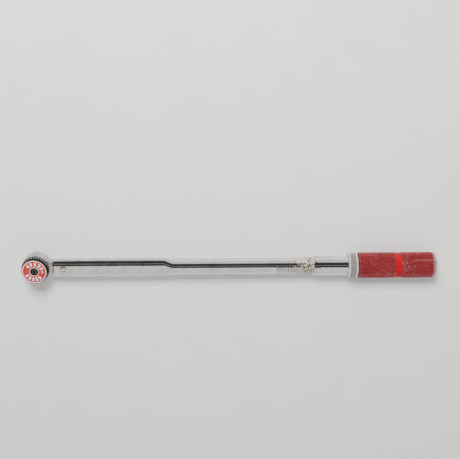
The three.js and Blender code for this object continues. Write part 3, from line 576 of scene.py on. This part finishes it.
def red_band():
    """Red anodised aluminium, turned smooth: the same red, but deeper, cleaner and glossy."""
    material, node, place = start_material("red_anodised_smooth")
    drawn = node("Mapping", Vector=place, Scale=(1, 0.1, 0.1))
    rings = node("TexNoise", Vector=drawn, Scale=3.0 / MM, **BROAD)
    colour = node("ValToRGB", rings, stops=[(0.3, "#980a15"), (0.7, "#ab101c")])
    dyed = {"Metallic": 0.1, "Specular_IOR_Level": 0.12}
    return finish(material, colour, (rings, 0.22, 0.34), rings, 0.08, **dyed)


def worn_aluminium():
    """Anodised aluminium with its dye rubbed off: pinkish silver, red left in its nicks."""
    material, node, place = start_material("worn_bare_aluminium")
    nicks = node("TexNoise", Vector=place, Scale=0.8 / MM, **GRAINY)
    cloud = node("TexNoise", Vector=place, Scale=0.15 / MM, **BROAD)
    metal = node("ValToRGB", cloud, stops=[(0.3, "#a98d8c"), (0.7, "#cbb6b4")])
    dyed = node("MapRange", nicks, 0.52, 0.6, 0.0, 0.75)
    colour = node("Mix", {0: dyed, 6: metal, 7: "#8d2f35"}, **COLOURS)
    return finish(material, colour, (nicks, 0.28, 0.5), nicks, 0.35, Metallic=0.55)


def plain_metal(name, dark, light, smooth, matt):
    """Machined metal: cloudy tone, and tool grain of under 1 mm in its gloss and relief."""
    material, node, place = start_material(name)
    cloud = node("TexNoise", Vector=place, Scale=0.2 / MM, **CLOUDY)
    grain = node("TexNoise", Vector=place, Scale=1.5 / MM, Detail=4.0, Roughness=0.65)
    colour = node("ValToRGB", cloud, stops=[(0.3, dark), (0.7, light)])
    return finish(material, colour, (grain, smooth, matt), grain, 0.2)


def nitrile_rubber():
    """Nitrile rubber, moulded: black, matt, slightly dusty."""
    material, node, place = start_material("nitrile_rubber")
    dust = node("TexNoise", Vector=place, Scale=1.2 / MM, **BROAD)
    colour = node("ValToRGB", dust, stops=[(0.35, "#141414"), (0.75, "#2b2a29")])
    rough = node("MapRange", dust, 0.0, 1.0, 0.6, 0.9)
    return finish(material, colour, rough, dust, 0.2, 0.1, Metallic=0.0)


TUBE_CHROME = polished_chrome("polished_chrome_scale", on_tube=True)
THIMBLE_CHROME = polished_chrome("polished_chrome_thimble", on_tube=False)
SATIN = satin_chrome()
KNURLED_CHROME = knurled_chrome()
BLACK = black_oxide()
LABEL_RED = printed_disc("label_print_red", "#b1131a", "#7c1015")
LABEL_WHITE = printed_disc("label_print_white", "#e6dad7", "#d3c2bf")
LABEL_PINK = printed_disc("label_print_pink", "#e08d8f", "#d07376")
RED_KNURL = red_knurl()
RED_BAND = red_band()
WORN_ALUMINIUM = worn_aluminium()
# zinc plate, yellow passivated: pale straw, soft shine
PLATED = plain_metal("yellow_zinc_plate", "#dcd9b8", "#f0eed2", 0.3, 0.45)
# hardened alloy steel, ground: mid grey, fairly bright
STEEL = plain_metal("ground_alloy_steel", "#7c7d80", "#a3a4a6", 0.25, 0.42)
# spring wire, oil tempered: dark blue-grey
SPRING_STEEL = plain_metal("oil_tempered_spring_steel", "#3f4044", "#5d5e62", 0.3, 0.45)
# blackened screw steel, oiled: dull dark grey
DARK_STEEL = plain_metal("oiled_black_screw", "#4b4b4b", "#6e6d6b", 0.4, 0.55)
# stamped figures left bare: a little greyer and duller than the plate around them
ENGRAVED = plain_metal("engraved_figures", "#bdbab4", "#dad8d3", 0.55, 0.7)
# black paint rubbed into stamped figures: matt black
BLACK_FILL = plain_metal("black_filled_figures", "#19181a", "#2b292a", 0.5, 0.65)
# bearing bronze, turned: warm brown, soft shine
BRONZE = plain_metal("bearing_bronze", "#8f6433", "#b98a4c", 0.28, 0.42)
RUBBER = nitrile_rubber()


# ------ tube
def tube_rows(inset, along, share, outside=True):
    """Cross-section loops from the flattened shape to the round one as share goes from 0 to 1.

    Every size goes evenly from its flat value to the tube's radius, less the inset.
    """
    rows = []
    for x, s in zip(along, share):
        flat = np.array([FLAT_HALF_WIDTH, FLAT_HALF_HEIGHT, FLAT_CROWN, FLAT_BORE_CORNER])
        half_width, half_height, crown, corner = flat + (TUBE_RADIUS - flat) * s - inset
        if outside:
            loop = crowned_loop(half_width, half_height, crown, 72)
        else:
            loop = rounded_loop(half_width, half_height, corner, 72)
        rows.append(np.concatenate([np.full((len(loop), 1), x), loop + [0, AXIS_Z]], 1))
    return rows


def fluted(row):
    """The same loop with axial flutes: inside a flute's circle the radius is its near side."""
    across, up = row[:, 1], row[:, 2] - AXIS_Z
    count, orbit = FLUTES["count"], FLUTES["orbit"]
    from_flute = np.angle(np.exp(1j * count * np.arctan2(across, up))) / count
    inside = FLUTES["radius"] ** 2 - (orbit * np.sin(from_flute)) ** 2
    reach = orbit * np.cos(from_flute) - np.sqrt(np.maximum(inside, 0))
    share = np.where(inside > 0, np.minimum(reach / TUBE_RADIUS, 1), 1)
    return np.stack([row[:, 0], across * share, AXIS_Z + up * share], -1)


def main_tube():
    """The tube's wall: outside from front to rear, then the bore back, closed on itself."""
    start, end = TUBE_LOW[0], TUBE_HIGH[0]
    swell = np.linspace(0, 1, 25)
    swell_x, share = FLAT_END + (ROUND_START - FLAT_END) * swell, smoothstep(swell)
    flat_rear, round_front = FLAT_END - 2, ROUND_START + 2
    nose_radius, chamfer, wall = 1.5, 0.5, TUBE_RADIUS - TUBE_BORE
    rows = []
    for t in np.linspace(0, math.pi / 2, 7)[:-1]:
        nose_x = start + nose_radius * (1 - math.cos(t))
        rows += tube_rows(nose_radius * (1 - math.sin(t)), [nose_x], [0])
    rows += tube_rows(0, np.linspace(start + nose_radius, flat_rear, 8), [0] * 8)
    rows += tube_rows(0, swell_x, share)
    rows += tube_rows(0, [round_front, 300, 400, FLUTES["start"] - 0.1], [1] * 4)
    rear = tube_rows(0, [FLUTES["start"], end - chamfer], [1] * 2) + tube_rows(chamfer, [end], [1])
    rows += [fluted(row) for row in rear]
    rows += tube_rows(wall, [end, round_front], [1] * 2, outside=False)
    rows += tube_rows(wall, swell_x[::-4], share[::-4], outside=False)
    rows += tube_rows(wall, [flat_rear, start], [0] * 2, outside=False)
    solid = shell(np.array(rows), closed_profile=True)
    add_piece("chrome_tube", "tube", TUBE_CHROME, [solid], ["main_tube"])


def pivot_pin():
    """The pin: a shank whose two ends are low domes, turned about its upright axis."""
    top, bottom, dome_height = PIN_HIGH[2], PIN_LOW[2], 1.7
    t = np.linspace(0, math.pi / 2, 12)
    dome = np.stack([PIN_RADIUS * np.cos(0.98 * t), top - dome_height * (1 - np.sin(t))], -1)
    lower = np.stack([dome[::-1, 0], bottom + top - dome[::-1, 1]], -1)
    solid = turned_z(np.concatenate([lower, dome]), 64, closed=False, centre_x=PIN_X)
    add_piece("pivot_pin_domed", "tube", PLATED, [solid], ["pivot_pin"])


def pin_shade_rings():
    """Two thin dark rings in the countersinks around the pin, on the tube's two flats: painted
    shade standing in for the countersinks' dark edges.
    """
    rings = []
    inner, outer, sunk, proud = PIN_RADIUS + 0.02, PIN_RADIUS + 0.8, -0.4, 0.03
    for side in (1, -1):
        profile = np.array([
            [inner, sunk], [inner, proud - 0.01], [outer - 0.05, proud], [outer, sunk],
        ])
        profile = profile * [1, side] + [0, AXIS_Z + side * FLAT_HALF_HEIGHT]
        rings.append(turned_z(profile, 64, centre_x=PIN_X))
    add_piece("pin_painted_shade_rings", "tube", SPRING_STEEL, rings)


# ------ ratchet head
def head_housing():
    """The round housing, turned: outside, cover seat, snap-ring groove, gear room, roof.

    The roof has a ring-shaped gap where the shift pin swings, so its middle disc is a second shell.
    Heights are counted from the tube's axis.
    """
    cover_seat, groove, lip, room, half_room = 16.5, 17.3, 13.8, 19.0, 5.8
    gap_inner, gap_outer, screw_hole = 12.7, 15.3, 2.55
    outside = rounded([
        [gap_outer, HOUSING_TOP], [HOUSING_RADIUS, HOUSING_TOP], [HOUSING_RADIUS, -HOUSING_BOTTOM],
        [cover_seat, -HOUSING_BOTTOM],
    ], 2.6, 9)
    inside = np.array([
        [cover_seat, -9.8], [groove, -9.8], [groove, -8.6], [cover_seat, -8.6], [cover_seat, -7],
        [lip, -7], [lip, -half_room], [room, -half_room], [room, half_room], [gap_outer, half_room],
    ])
    wall = np.concatenate([outside, inside]) + [0, AXIS_Z]
    roof = np.array([
        [screw_hole, half_room], [gap_inner, half_room], [gap_inner, HOUSING_TOP],
        [screw_hole, HOUSING_TOP],
    ]) + [0, AXIS_Z]
    return [turned_z(wall, 160), turned_z(roof, 64)]


def head_web():
    """The web to the neck: loops whose front lies on the housing's circle and whose rear is flat.

    A loop point keeps its share of the width while the width shrinks and X goes from circle to
    plane.
    """
    front_half, rear_half, half_height, rear_x, hidden_radius = 16.1, 8.8, 7.5, 24.8, 20.3
    rows = []
    for t in np.linspace(0, 1, 9):
        half_width = front_half + (rear_half - front_half) * t
        loop = rounded_loop(half_width, half_height, 2.2, 10)
        share = loop[:, 0] / half_width
        circle_x = np.sqrt(hidden_radius**2 - (share * front_half) ** 2)
        x = circle_x + (rear_x - circle_x) * t
        rows.append(np.stack([x, loop[:, 0], loop[:, 1] + AXIS_Z], -1))
    bevel = loop * [0.97, 0.96] + [0, AXIS_Z]
    rows.append(np.concatenate([np.full((len(loop), 1), rear_x + 0.25), bevel], 1))
    return shell(np.array(rows))


def bar(along, sides):
    """A bar of the lever, with a left and a right side at each place along X."""
    low, high = AXIS_Z - 4.6, AXIS_Z + 4.6
    return shell(np.array([
        [[x, left, low], [x, right, low], [x, right, high], [x, left, high]]
        for x, (left, right) in zip(along, sides)
    ], float))


def lever():
    """The lever inside the tube: a bar, two cheeks that pass the pin, and a bar that tapers."""
    half, gap = 8.8, PIN_RADIUS + 0.15
    front, rear = PIN_X - gap, PIN_X + gap
    tail_x = [rear, 62, 96, HEAD_REAR - 1, HEAD_REAR]
    tail = [(-side, side) for side in (half, half, 6.5, 6.5, 5.5)]
    return [
        bar([24.7, front], [(-half, half)] * 2), bar([front, rear], [(-half, -gap)] * 2),
        bar([front, rear], [(gap, half)] * 2), bar(tail_x, tail),
    ]


def ratchet_head():
    """Housing, web and lever as one forging."""
    shells = [*head_housing(), head_web(), *lever()]
    add_piece("head_forging", "head", SATIN, shells, ["ratchet_head"])


def drive_square():
    """Gear, hub and square in one: each height has its own distance from the axis for every angle.

    The square is a superellipse of power 22, the hub a circle, and the gear a circle whose teeth
    are a clipped triangle wave.
    """
    angle = columns_of(720)
    half_square, power, hub, root, tooth = 6.35, 22, 11.0, 11.5, 0.9
    square = np.abs(np.cos(angle)) ** power + np.abs(np.sin(angle)) ** power
    square = half_square / square ** (1 / power)
    wave = np.abs((angle * GEAR_TEETH / TURN + 0.5) % 1 - 0.5) * 2
    teeth = root + tooth * np.clip((0.76 - wave) / 0.56, 0, 1)
    circle = np.ones_like(angle)
    gear_bottom, hub_bottom = AXIS_Z - 5.6, AXIS_Z - 12.5
    rows = [
        (square - 0.9, 0), (square - 0.35, 0.25), (square, 0.9), (square, hub_bottom - 0.6),
        (square + 0.25, hub_bottom - 0.15), (square + 0.7, hub_bottom),
        (circle * (hub - 0.8), hub_bottom), (circle * (hub - 0.25), hub_bottom + 0.25),
        (circle * hub, hub_bottom + 0.8), (circle * hub, gear_bottom),
        (teeth - 0.15, gear_bottom), (teeth, gear_bottom + 0.15),
        (teeth, GEAR_TOP - 0.15), (teeth - 0.15, GEAR_TOP),
    ]
    points = np.array([around_z(radius, angle, height) for radius, height in rows])
    replaced = ["ratchet_gear"]
    add_piece("drive_square_and_gear", "drive_gear", STEEL, [shell(points)], replaced, 25)


def socket_ball():
    """A sphere between two tiny polar caps, its poles along X."""
    centre, radius = (BALL_LOW + BALL_HIGH) / 2, (BALL_HIGH[2] - BALL_LOW[2]) / 2
    polar = np.linspace(0.02, math.pi - 0.02, 24)[:, None]
    around = columns_of(40)
    unit = np.broadcast_arrays(
        np.cos(polar), np.sin(polar) * np.cos(around), np.sin(polar) * np.sin(around)
    )
    points = centre + radius * np.stack(unit, -1)
    replaced = ["socket_ball"]
    add_piece("socket_detent_ball", "socket_ball", STEEL, [shell(points)], replaced)


# ------ reversing dial
def reversing_dial():
    """Turned dial whose skirt is ribbed.

    Each profile point is pulled in by its own share of a rib wave: the wave is a raised cosine,
    flattened so that the ribs are broad and the grooves between them rounded.
    """
    bottom, top, widest = DIAL_LOW[2], DIAL_HIGH[2], DIAL_HIGH[0]
    rib_top, rib_depth, root = bottom + SKIRT_HEIGHT, 0.95, 18.65
    groove_radius, rim, seat, hub, bore = 15.8, 17.7, 5.95, 3.5, 4.7
    skirt = stepped([
        [18.6, bottom], [widest - 0.45, bottom], [widest, bottom + 0.45], [19.55, rib_top],
    ], 0.35)
    crown = rounded([[19.4, rib_top + 0.35], [18.75, top - 1.9], [18.3, top], [rim, top]], 0.5, 5)
    inner = rounded([
        [rim, top], [rim, top - 0.9], [seat, top - 0.9], [seat, top - bore], [hub, top - bore],
        [hub, bottom], [groove_radius, bottom],
    ], 0.15, 3)
    groove = [[groove_radius, bottom + 0.85], [18.6, bottom + 0.85]]
    profile = np.concatenate([skirt, crown, inner[1:], groove])
    radius, height = profile[:, :1], profile[:, 1:]
    angle = columns_of(DIAL_RIBS * 14)
    wave = (0.5 - 0.5 * np.cos(angle * DIAL_RIBS)) ** 1.6
    on_skirt = (np.arange(len(profile)) < len(skirt))[:, None] & (radius > 18.9)
    share = on_skirt * smoothstep((rib_top + 0.1 - height) / 0.9)
    cut = np.minimum(rib_depth * share * wave, np.maximum(radius - root, 0))
    solid = shell(around_z(radius - cut, angle, height), closed_profile=True)
    add_piece("ribbed_dial", "dial", BLACK, [solid], ["reverse_dial"], sharp=40)


def sector(middle, half, from_degrees, to_degrees, low, high):
    """A flat ring sector: a rectangular section at six angles."""
    angle = np.radians(np.linspace(from_degrees, to_degrees, 6)[:, None])
    radius = middle + half * np.array([-1, 1, 1, -1])
    return shell(around_z(radius, angle, np.array([low, low, high, high])))


def arrowhead(middle, half, from_degrees, turn, low, high):
    """A flat arrowhead on a ring: its section's width shrinks to a point as the angle grows."""
    share = np.linspace(0, 1, 8)[:, None]
    angle = np.radians(from_degrees + turn * share)
    radius = middle + half * (1 - 0.94 * share) * np.array([-1, 1, 1, -1])
    return shell(around_z(radius, angle, np.array([low, low, high, high])))


def dial_label():
    """The printed disc with its raised pale borders, turning arrows and graduation blocks.

    All marks are flat ring sectors and arrowheads 0.05 mm above the disc.
    """
    low, top = LABEL_LOW[2], LABEL_HIGH[2]
    high = top - 0.05
    inner, outer = 6.05, (LABEL_HIGH[0] - LABEL_LOW[0]) / 2
    corners = [[inner, low], [outer, low], [outer, high], [inner, high], [inner, low]]
    disc = turned_z(rounded(corners, 0.15, 4)[:-1], 120)
    add_piece("label_disc", "dial", LABEL_RED, [disc], ["dial_label"])
    base, middle, half, tilt = high - 0.1, 11.7, 2.9, -10
    marks = [
        turned_z(np.array([[start, base], [end, base], [end, top], [start, top]]), 120)
        for start, end in ((inner + 0.02, inner + 0.7), (outer - 1.15, outer - 0.12))
    ]
    for centre in (60, 90, 120):
        at = tilt + centre
        marks.append(sector(middle, half, at - 6.5, at + 6.5, base, top))
    for centre, turn in ((139, 20), (41, -20)):
        marks.append(arrowhead(middle, half + 0.5, tilt + centre, turn, base, top))
    for centre in (-140, -115, -90, -65, -40):
        at = tilt + centre
        marks.append(sector(middle, half, at - 6, at + 6, base, top))
    add_piece("label_marks_white", "dial", LABEL_WHITE, marks)
    square = sector(middle, 1.6, tilt, tilt + 15, base, top)
    add_piece("label_mark_pink", "dial", LABEL_PINK, [square])


def dial_screw():
    """Socket-head screw: turned head and shank, with a six-sided socket.

    The socket's wall is at a regular hexagon's distance from the axis for every angle.
    """
    bottom, top = SCREW_LOW[2], SCREW_HIGH[2]
    thread, shank, head, tip = 2.45, 3.4, 4.1, 0.02
    angle = columns_of(144)
    sixth = math.pi / 3
    hexagon = 2.0 / np.cos((angle + sixth / 2) % sixth - sixth / 2)
    circle = np.ones_like(angle)
    rows = [
        (circle * tip, bottom), (circle * thread, bottom), (circle * thread, bottom + 2.75),
        (circle * shank, bottom + 2.75), (circle * shank, bottom + 8.2),
        (circle * head, bottom + 8.2), (circle * head, top - 0.45),
        (circle * (head - 0.15), top - 0.12), (circle * (head - 0.45), top), (hexagon + 0.15, top),
        (hexagon, top - 0.15), (hexagon, top - 2.3), (circle * tip, top - 2.5),
    ]
    points = np.array([around_z(radius, angle, height) for radius, height in rows])
    replaced = ["dial_screw"]
    add_piece("dial_socket_screw", "head", DARK_STEEL, [shell(points)], replaced)


# ------ thimble, lock ring, grip
def thimble():
    """A turned sleeve whose front edge is a short bevel with rounded corners."""
    front, rear, bore = THIMBLE_LOW[0], THIMBLE_HIGH[0], 12.2
    profile = rounded([
        [rear, bore], [front + 0.4, bore], [front, bore + 0.4], [front, THIMBLE_RADIUS - 0.9],
        [front + 1.1, THIMBLE_RADIUS], [rear, THIMBLE_RADIUS], [rear, bore],
    ], 0.3, 5)
    solid = turned_x(profile[:-1], 144)
    add_piece("chrome_thimble", "grip", THIMBLE_CHROME, [solid], ["thimble"])


def knurled_rows(from_x, to_x, radius, pitch, columns):
    """Grid rows a quarter of a pitch apart with a diamond knurl cut in, plain at both ends.

    Its height is the lower of two triangle waves that cross at right angles, its crests blunted.
    """
    count = int(round((to_x - from_x) / (pitch / 4)))
    along = np.linspace(from_x, to_x, count + 1)[:, None]
    row, column = np.arange(count + 1)[:, None] / 4, np.arange(columns) / 4
    first, second = [1 - 2 * np.abs(s - np.round(s)) for s in (row + column, row - column)]
    height = np.minimum(np.minimum(first, second), 0.8) / 0.8
    fade = smoothstep((along - from_x) / 0.5) * smoothstep((to_x - along) / 0.5)
    return around_x(along, radius - KNURL_DEPTH * (1 - height) * fade, columns_of(columns))


def knurled_sleeve(name, body, material, before, after, knurl, replaces, slot):
    """A closed sleeve: plain profile stops, the knurled rows, then plain stops to the start."""
    angle = columns_of(knurl.shape[1])
    plain = [around_x(stops[:, :1], stops[:, 1:], angle) for stops in (before, after)]
    points = np.concatenate([plain[0], knurl, plain[1]])
    solid = shell(points, closed_profile=True, knurled_from=len(before))
    add_piece(name, body, material, [solid], replaces, sharp=22)


def lock_ring():
    """Two rounded rims with a diamond-knurled band between them, over the bore's ball recess."""
    front, rear, bore = RING_LOW[0], RING_HIGH[0], SLEEVE_BORE
    ball_x, ball_room, ramp_foot, diamonds = front + 6.7, 15.9, 15.2, 95
    rim = rounded([
        [0, 15.6], [0, RING_RADIUS - 0.75], [0.85, RING_RADIUS], [1.9, RING_RADIUS],
        [2.35, RING_RADIUS - 0.45],
    ], 0.35, 5)
    inside = np.array([
        [rear, bore], [ball_x + 2.3, bore], [ball_x + 2, ball_room], [ball_x - 0.9, ball_room],
        [ball_x - 1.42, ramp_foot], [ball_x - 3.15, ramp_foot], [ball_x - 3.2, bore],
        [front + 1.5, bore], [front + 1.5, 15.6],
    ])
    before = np.concatenate([inside, rim + [front, 0]])
    after = rim[::-1] * [-1, 1] + [rear, 0]
    after[-1, 1] = bore + 0.4
    pitch = TURN * (RING_RADIUS - 0.45) / diamonds
    knurl = knurled_rows(front + 2.5, rear - 2.5, RING_RADIUS - 0.4, pitch, 4 * diamonds)
    knurled_sleeve(
        "knurled_lock_ring", "lock_ring", KNURLED_CHROME, before, after, knurl, ["lock_ring"],
        "satin_chrome",
    )


def grip():
    """Three closed sleeves: knurled front, smooth recessed band, knurled rear with a round end."""
    front, rear, bore, radius, diamonds = GRIP_LOW[0], GRIP_HIGH[0], SLEEVE_BORE, GRIP_RADIUS, 92
    pitch = TURN * radius / diamonds
    low, high, step = BAND_FRONT, BAND_REAR, 0.35
    before = rounded([
        [low, bore], [front, bore], [front, radius - 0.9], [front + 0.9, radius - 0.1],
    ], 0.3, 4)
    after = np.array([[low, radius - step]])
    knurl = knurled_rows(front + 1.0, low - 0.15, radius, pitch, 4 * diamonds)
    sleeve = ("grip", RED_KNURL, before, after, knurl, ["grip_sleeve"], "red_grip")
    knurled_sleeve("grip_knurl_front", *sleeve)
    before = np.array([[high, bore], [high, radius - step]])
    after = rounded([
        [rear - 1.0, radius - 0.1], [rear - 0.3, radius - 0.45], [rear, radius - 0.9], [rear, bore],
    ], 0.3, 4)
    knurl = knurled_rows(high + 0.15, rear - 1.1, radius, pitch, 4 * diamonds)
    sleeve = ("grip", RED_KNURL, before, after, knurl, ["grip_sleeve"], "red_grip")
    knurled_sleeve("grip_knurl_rear", *sleeve)
    low, high = low + 0.02, high - 0.02
    band = rounded([
        [low, bore], [low, radius - 0.42], [low + 1.58, radius - 0.36],
        [high - 1.58, radius - 0.36], [high, radius - 0.42], [high, bore], [low, bore],
    ], 0.25, 5)
    band = turned_x(band[:-1], 144)
    add_piece("grip_smooth_band", "grip", RED_BAND, [band], ["grip_sleeve"])


def end_cap():
    """Rounded end of the grip: a flange that curves in to a flat, on a spigot in the sleeve.

    The curve is a quarter of an ellipse.
    """
    front, seat, rear = CAP_LOW[0], GRIP_HIGH[0] + 0.15, CAP_HIGH[0]
    spigot, tip, radius, fall = 14.2, 0.05, (CAP_HIGH[1] - CAP_LOW[1]) / 2, 4.2
    t = np.linspace(0, math.pi / 2, 14)
    curve = np.stack([seat + (rear - seat) * np.sin(t), radius - fall * (1 - np.cos(t))], -1)
    start = [[front, tip], [front, spigot - 0.6], [front + 0.6, spigot], [seat, spigot]]
    face = [[rear, 12.0], [rear - 0.25, 11.6], [rear - 0.3, 4.0], [rear - 0.3, tip]]
    solid = turned_x(np.concatenate([start, curve, face]), 128, closed=False)
    add_piece("rounded_end_cap", "grip", WORN_ALUMINIUM, [solid], ["end_cap"])


# ------ springs
COIL_STEPS = 28


def coil_points(low, high, coil_radius, wire, turns, height):
    """Round wire carried along a helix about a line along X, with one close turn at each end."""
    turn = np.linspace(0, turns, turns * COIL_STEPS + 1)[:, None]
    close_pitch = 2.05 * wire
    middle_pitch = (high - low - 2 * wire - 2 * close_pitch) / (turns - 2)
    close_turns = np.minimum(turn, 1) + np.maximum(turn - turns + 1, 0)
    along = low + wire + close_turns * close_pitch + np.clip(turn - 1, 0, turns - 2) * middle_pitch
    section = columns_of(14)
    radius = coil_radius + wire * np.cos(section)
    points = around_x(along + wire * np.sin(section), radius, turn * TURN)
    return points + [0, 0, height - AXIS_Z]


def add_spring(name, body, points, replaces):
    """One spring piece, with a mesh of its own."""
    spring = add_piece(name, body, SPRING_STEEL, [shell(points)], [replaces])
    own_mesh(spring)


def springs():
    """The main spring, split two turns in, and the little one behind the socket ball.

    Both parts of the main spring go with the tube.
    """
    wire, turns, split = 2.0, 13, 2 * COIL_STEPS
    coil_radius = (COIL_HIGH[1] - COIL_LOW[1]) / 2 - wire
    points = coil_points(COIL_LOW[0], COIL_HIGH[0], coil_radius, wire, turns, AXIS_Z)
    front, rear, node = points[: split + 1], points[split:], "main_spring"
    add_spring("main_spring_front", "tube", front, node)
    add_spring("main_spring_coil", "tube", rear, node)
    node = "socket_ball_spring"
    low, high = span(node)
    height = (low[2] + high[2]) / 2
    points = coil_points(low[0], high[0], 1.4, 0.3, 5, height)
    add_spring("socket_ball_coil", "drive_gear", points, node)


# ------ engraved numerals
def numerals(name, body, material, words, size, radius, angles, along, upright=True):
    """Numbers laid on a cylinder: flat outlines bent so that one direction follows the curve."""
    shells = []
    for word, angle, x in zip(words, angles, along):
        curve = bpy.data.curves.new(word, "FONT")
        curve.body, curve.size, curve.align_x, curve.align_y = word, size, "CENTER", "CENTER"
        curve.extrude, curve.resolution_u = 0.03, 3
        holder = bpy.data.objects.new(word, curve)
        flat = bpy.data.meshes.new_from_object(holder)
        vertices = np.empty(len(flat.vertices) * 3, np.float32)
        flat.vertices.foreach_get("co", vertices)
        across, up, lift = vertices.reshape(-1, 3).astype(float).T
        if not upright:
            across, up = up, -across
        bent = around_x(x + across, radius + lift, angle + up / radius)
        shells.append((bent, [np.array([list(p.vertices)]) for p in flat.polygons]))
        bpy.data.objects.remove(holder)
        bpy.data.curves.remove(curve)
        bpy.data.meshes.remove(flat)
    add_piece(name, body, material, shells)


def scale_numerals():
    """Numbers beside the tube's scale, and ten digits around the thimble."""
    marks = np.arange(0, 13, 3)
    words = [str(30 + 10 * int(m)) for m in marks]
    along, angles = SCALE_START + marks * SCALE_STEP, [NUMERAL_ANGLE] * len(marks)
    numerals("scale_numerals", "tube", ENGRAVED, words, 2.6, TUBE_RADIUS, angles, along)
    angles, along = INDEX_ANGLE + columns_of(10), [THIMBLE_LOW[0] + 8.6] * 10
    numerals(
        "thimble_numerals", "grip", BLACK_FILL, "0123456789", 4.6, THIMBLE_RADIUS, angles, along,
        upright=False,
    )


# ------ CAD nodes that stay
KEPT_FINISHES = {
    "adjusting_nut": BRONZE, "thrust_washer": BRONZE, "cover_plate": SATIN, "dial_washer": BLACK,
    "snap_ring": SPRING_STEEL, "lock_clip": SPRING_STEEL, "dial_detent_spring": SPRING_STEEL,
    "lock_o_ring": RUBBER,
}


def finish_kept_nodes():
    """Gives each CAD node its material: steel unless it is named above."""
    for name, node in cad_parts.items():
        node.data.materials.clear()
        node.data.materials.append(KEPT_FINISHES.get(name, STEEL))


# ------ stage
FLOOR_RISE = math.atan2(GRIP_LOW[2], GRIP_HIGH[0])


def floor():
    """A plain pale floor that touches the drive's tip and the grip's underside."""
    half, drop, slope = 6.0, 0.00005, math.tan(FLOOR_RISE)
    square = ((-half, -half), (half, -half), (half, half), (-half, half))
    mesh = bpy.data.meshes.new("floor")
    mesh.from_pydata([(x, y, x * slope - drop) for x, y in square], [], [(0, 1, 2, 3)])
    # uncoated paper: matt and nearly even
    material, node, place = start_material("matt_paper_floor")
    fibre = node("TexNoise", Vector=place, Scale=0.02 / MM, **BROAD)
    colour = node("ValToRGB", fibre, stops=[(0.3, "#e9e8e6"), (0.7, "#edecea")])
    sockets = {"Base Color": colour, "Roughness": 0.9, "Specular IOR Level": 0.2}
    tree = material.node_tree
    fill(tree, tree.nodes["Principled BSDF"], sockets)
    mesh.materials.append(material)
    add_object("floor", mesh)


def camera():
    """Looks down from the +Y side, level with the floor's slope."""
    tilt, distance = math.radians(20.7), 1.25
    along, aside = 0.28466, 0.0553
    right = Vector((math.cos(FLOOR_RISE), 0, math.sin(FLOOR_RISE)))
    normal = Vector((-math.sin(FLOOR_RISE), 0, math.cos(FLOOR_RISE)))
    back = normal * math.cos(tilt) + Vector((0, math.sin(tilt), 0))
    up = back.cross(right)
    target = Vector((0, 0, AXIS_Z * MM)) + right * along + up * aside
    data = bpy.data.cameras.new("camera")
    data.lens, data.sensor_width = 66.47, 36.0
    data.clip_start, data.clip_end = 0.05, 20
    place = Matrix((right, up, back)).transposed().to_4x4()
    place.translation = target + back * distance
    eye = add_object("camera", data)
    eye.matrix_world = place
    bpy.context.scene.camera = eye


def key_light():
    """One soft square lamp, hidden from mirror-like surfaces, which show the room instead."""
    place, toward = Vector((0.1, 1.15, 1.35)), Vector((0.29, 0, 0))
    data = bpy.data.lights.new("key", "AREA")
    data.shape, data.size, data.size_y, data.energy = "RECTANGLE", 0.5, 0.5, 54
    lamp = add_object("key", data)
    lamp.location = place
    lamp.rotation_euler = (toward - place).to_track_quat("-Z", "Y").to_euler()
    lamp.visible_glossy = False


def studio():
    """A light room with a dark ceiling panel on the +Y side of the tool, split by a narrow gap.

    Brightness depends on how far a direction leans from straight up towards +Y, in degrees, so
    panels run along the tool.
    """
    panels = [
        (-90, 0.96), (-9, 1.07), (-2, 0.05), (16, 0.04), (18, 0.34), (23, 0.34), (25, 0.04),
        (51, 0.05), (60, 0.5), (65, 1.2), (81, 1.35), (84, 0.05), (95, 0.04),
    ]
    world = bpy.data.worlds.new("studio")
    bpy.context.scene.world = world
    world.use_nodes = True
    tree = world.node_tree
    direction = add(tree, "TexCoord", out="Generated")
    parts = add(tree, "SeparateXYZ", direction, out=None)
    lean = add(tree, "Math", parts["Y"], parts["Z"], operation="ARCTAN2")
    lean = add(tree, "MapRange", lean, -math.pi, math.pi)
    stops = [((degrees + 180) / 360, value) for degrees, value in panels]
    shade = add(tree, "ValToRGB", lean, stops=stops)
    fill(tree, tree.nodes["Background"], {"Color": shade, "Strength": 1.0})
    key_light()


main_tube()
pivot_pin()
pin_shade_rings()
ratchet_head()
drive_square()
socket_ball()
reversing_dial()
dial_label()
dial_screw()
thimble()
lock_ring()
grip()
end_cap()
springs()
scale_numerals()
finish_kept_nodes()
floor()
studio()
camera()
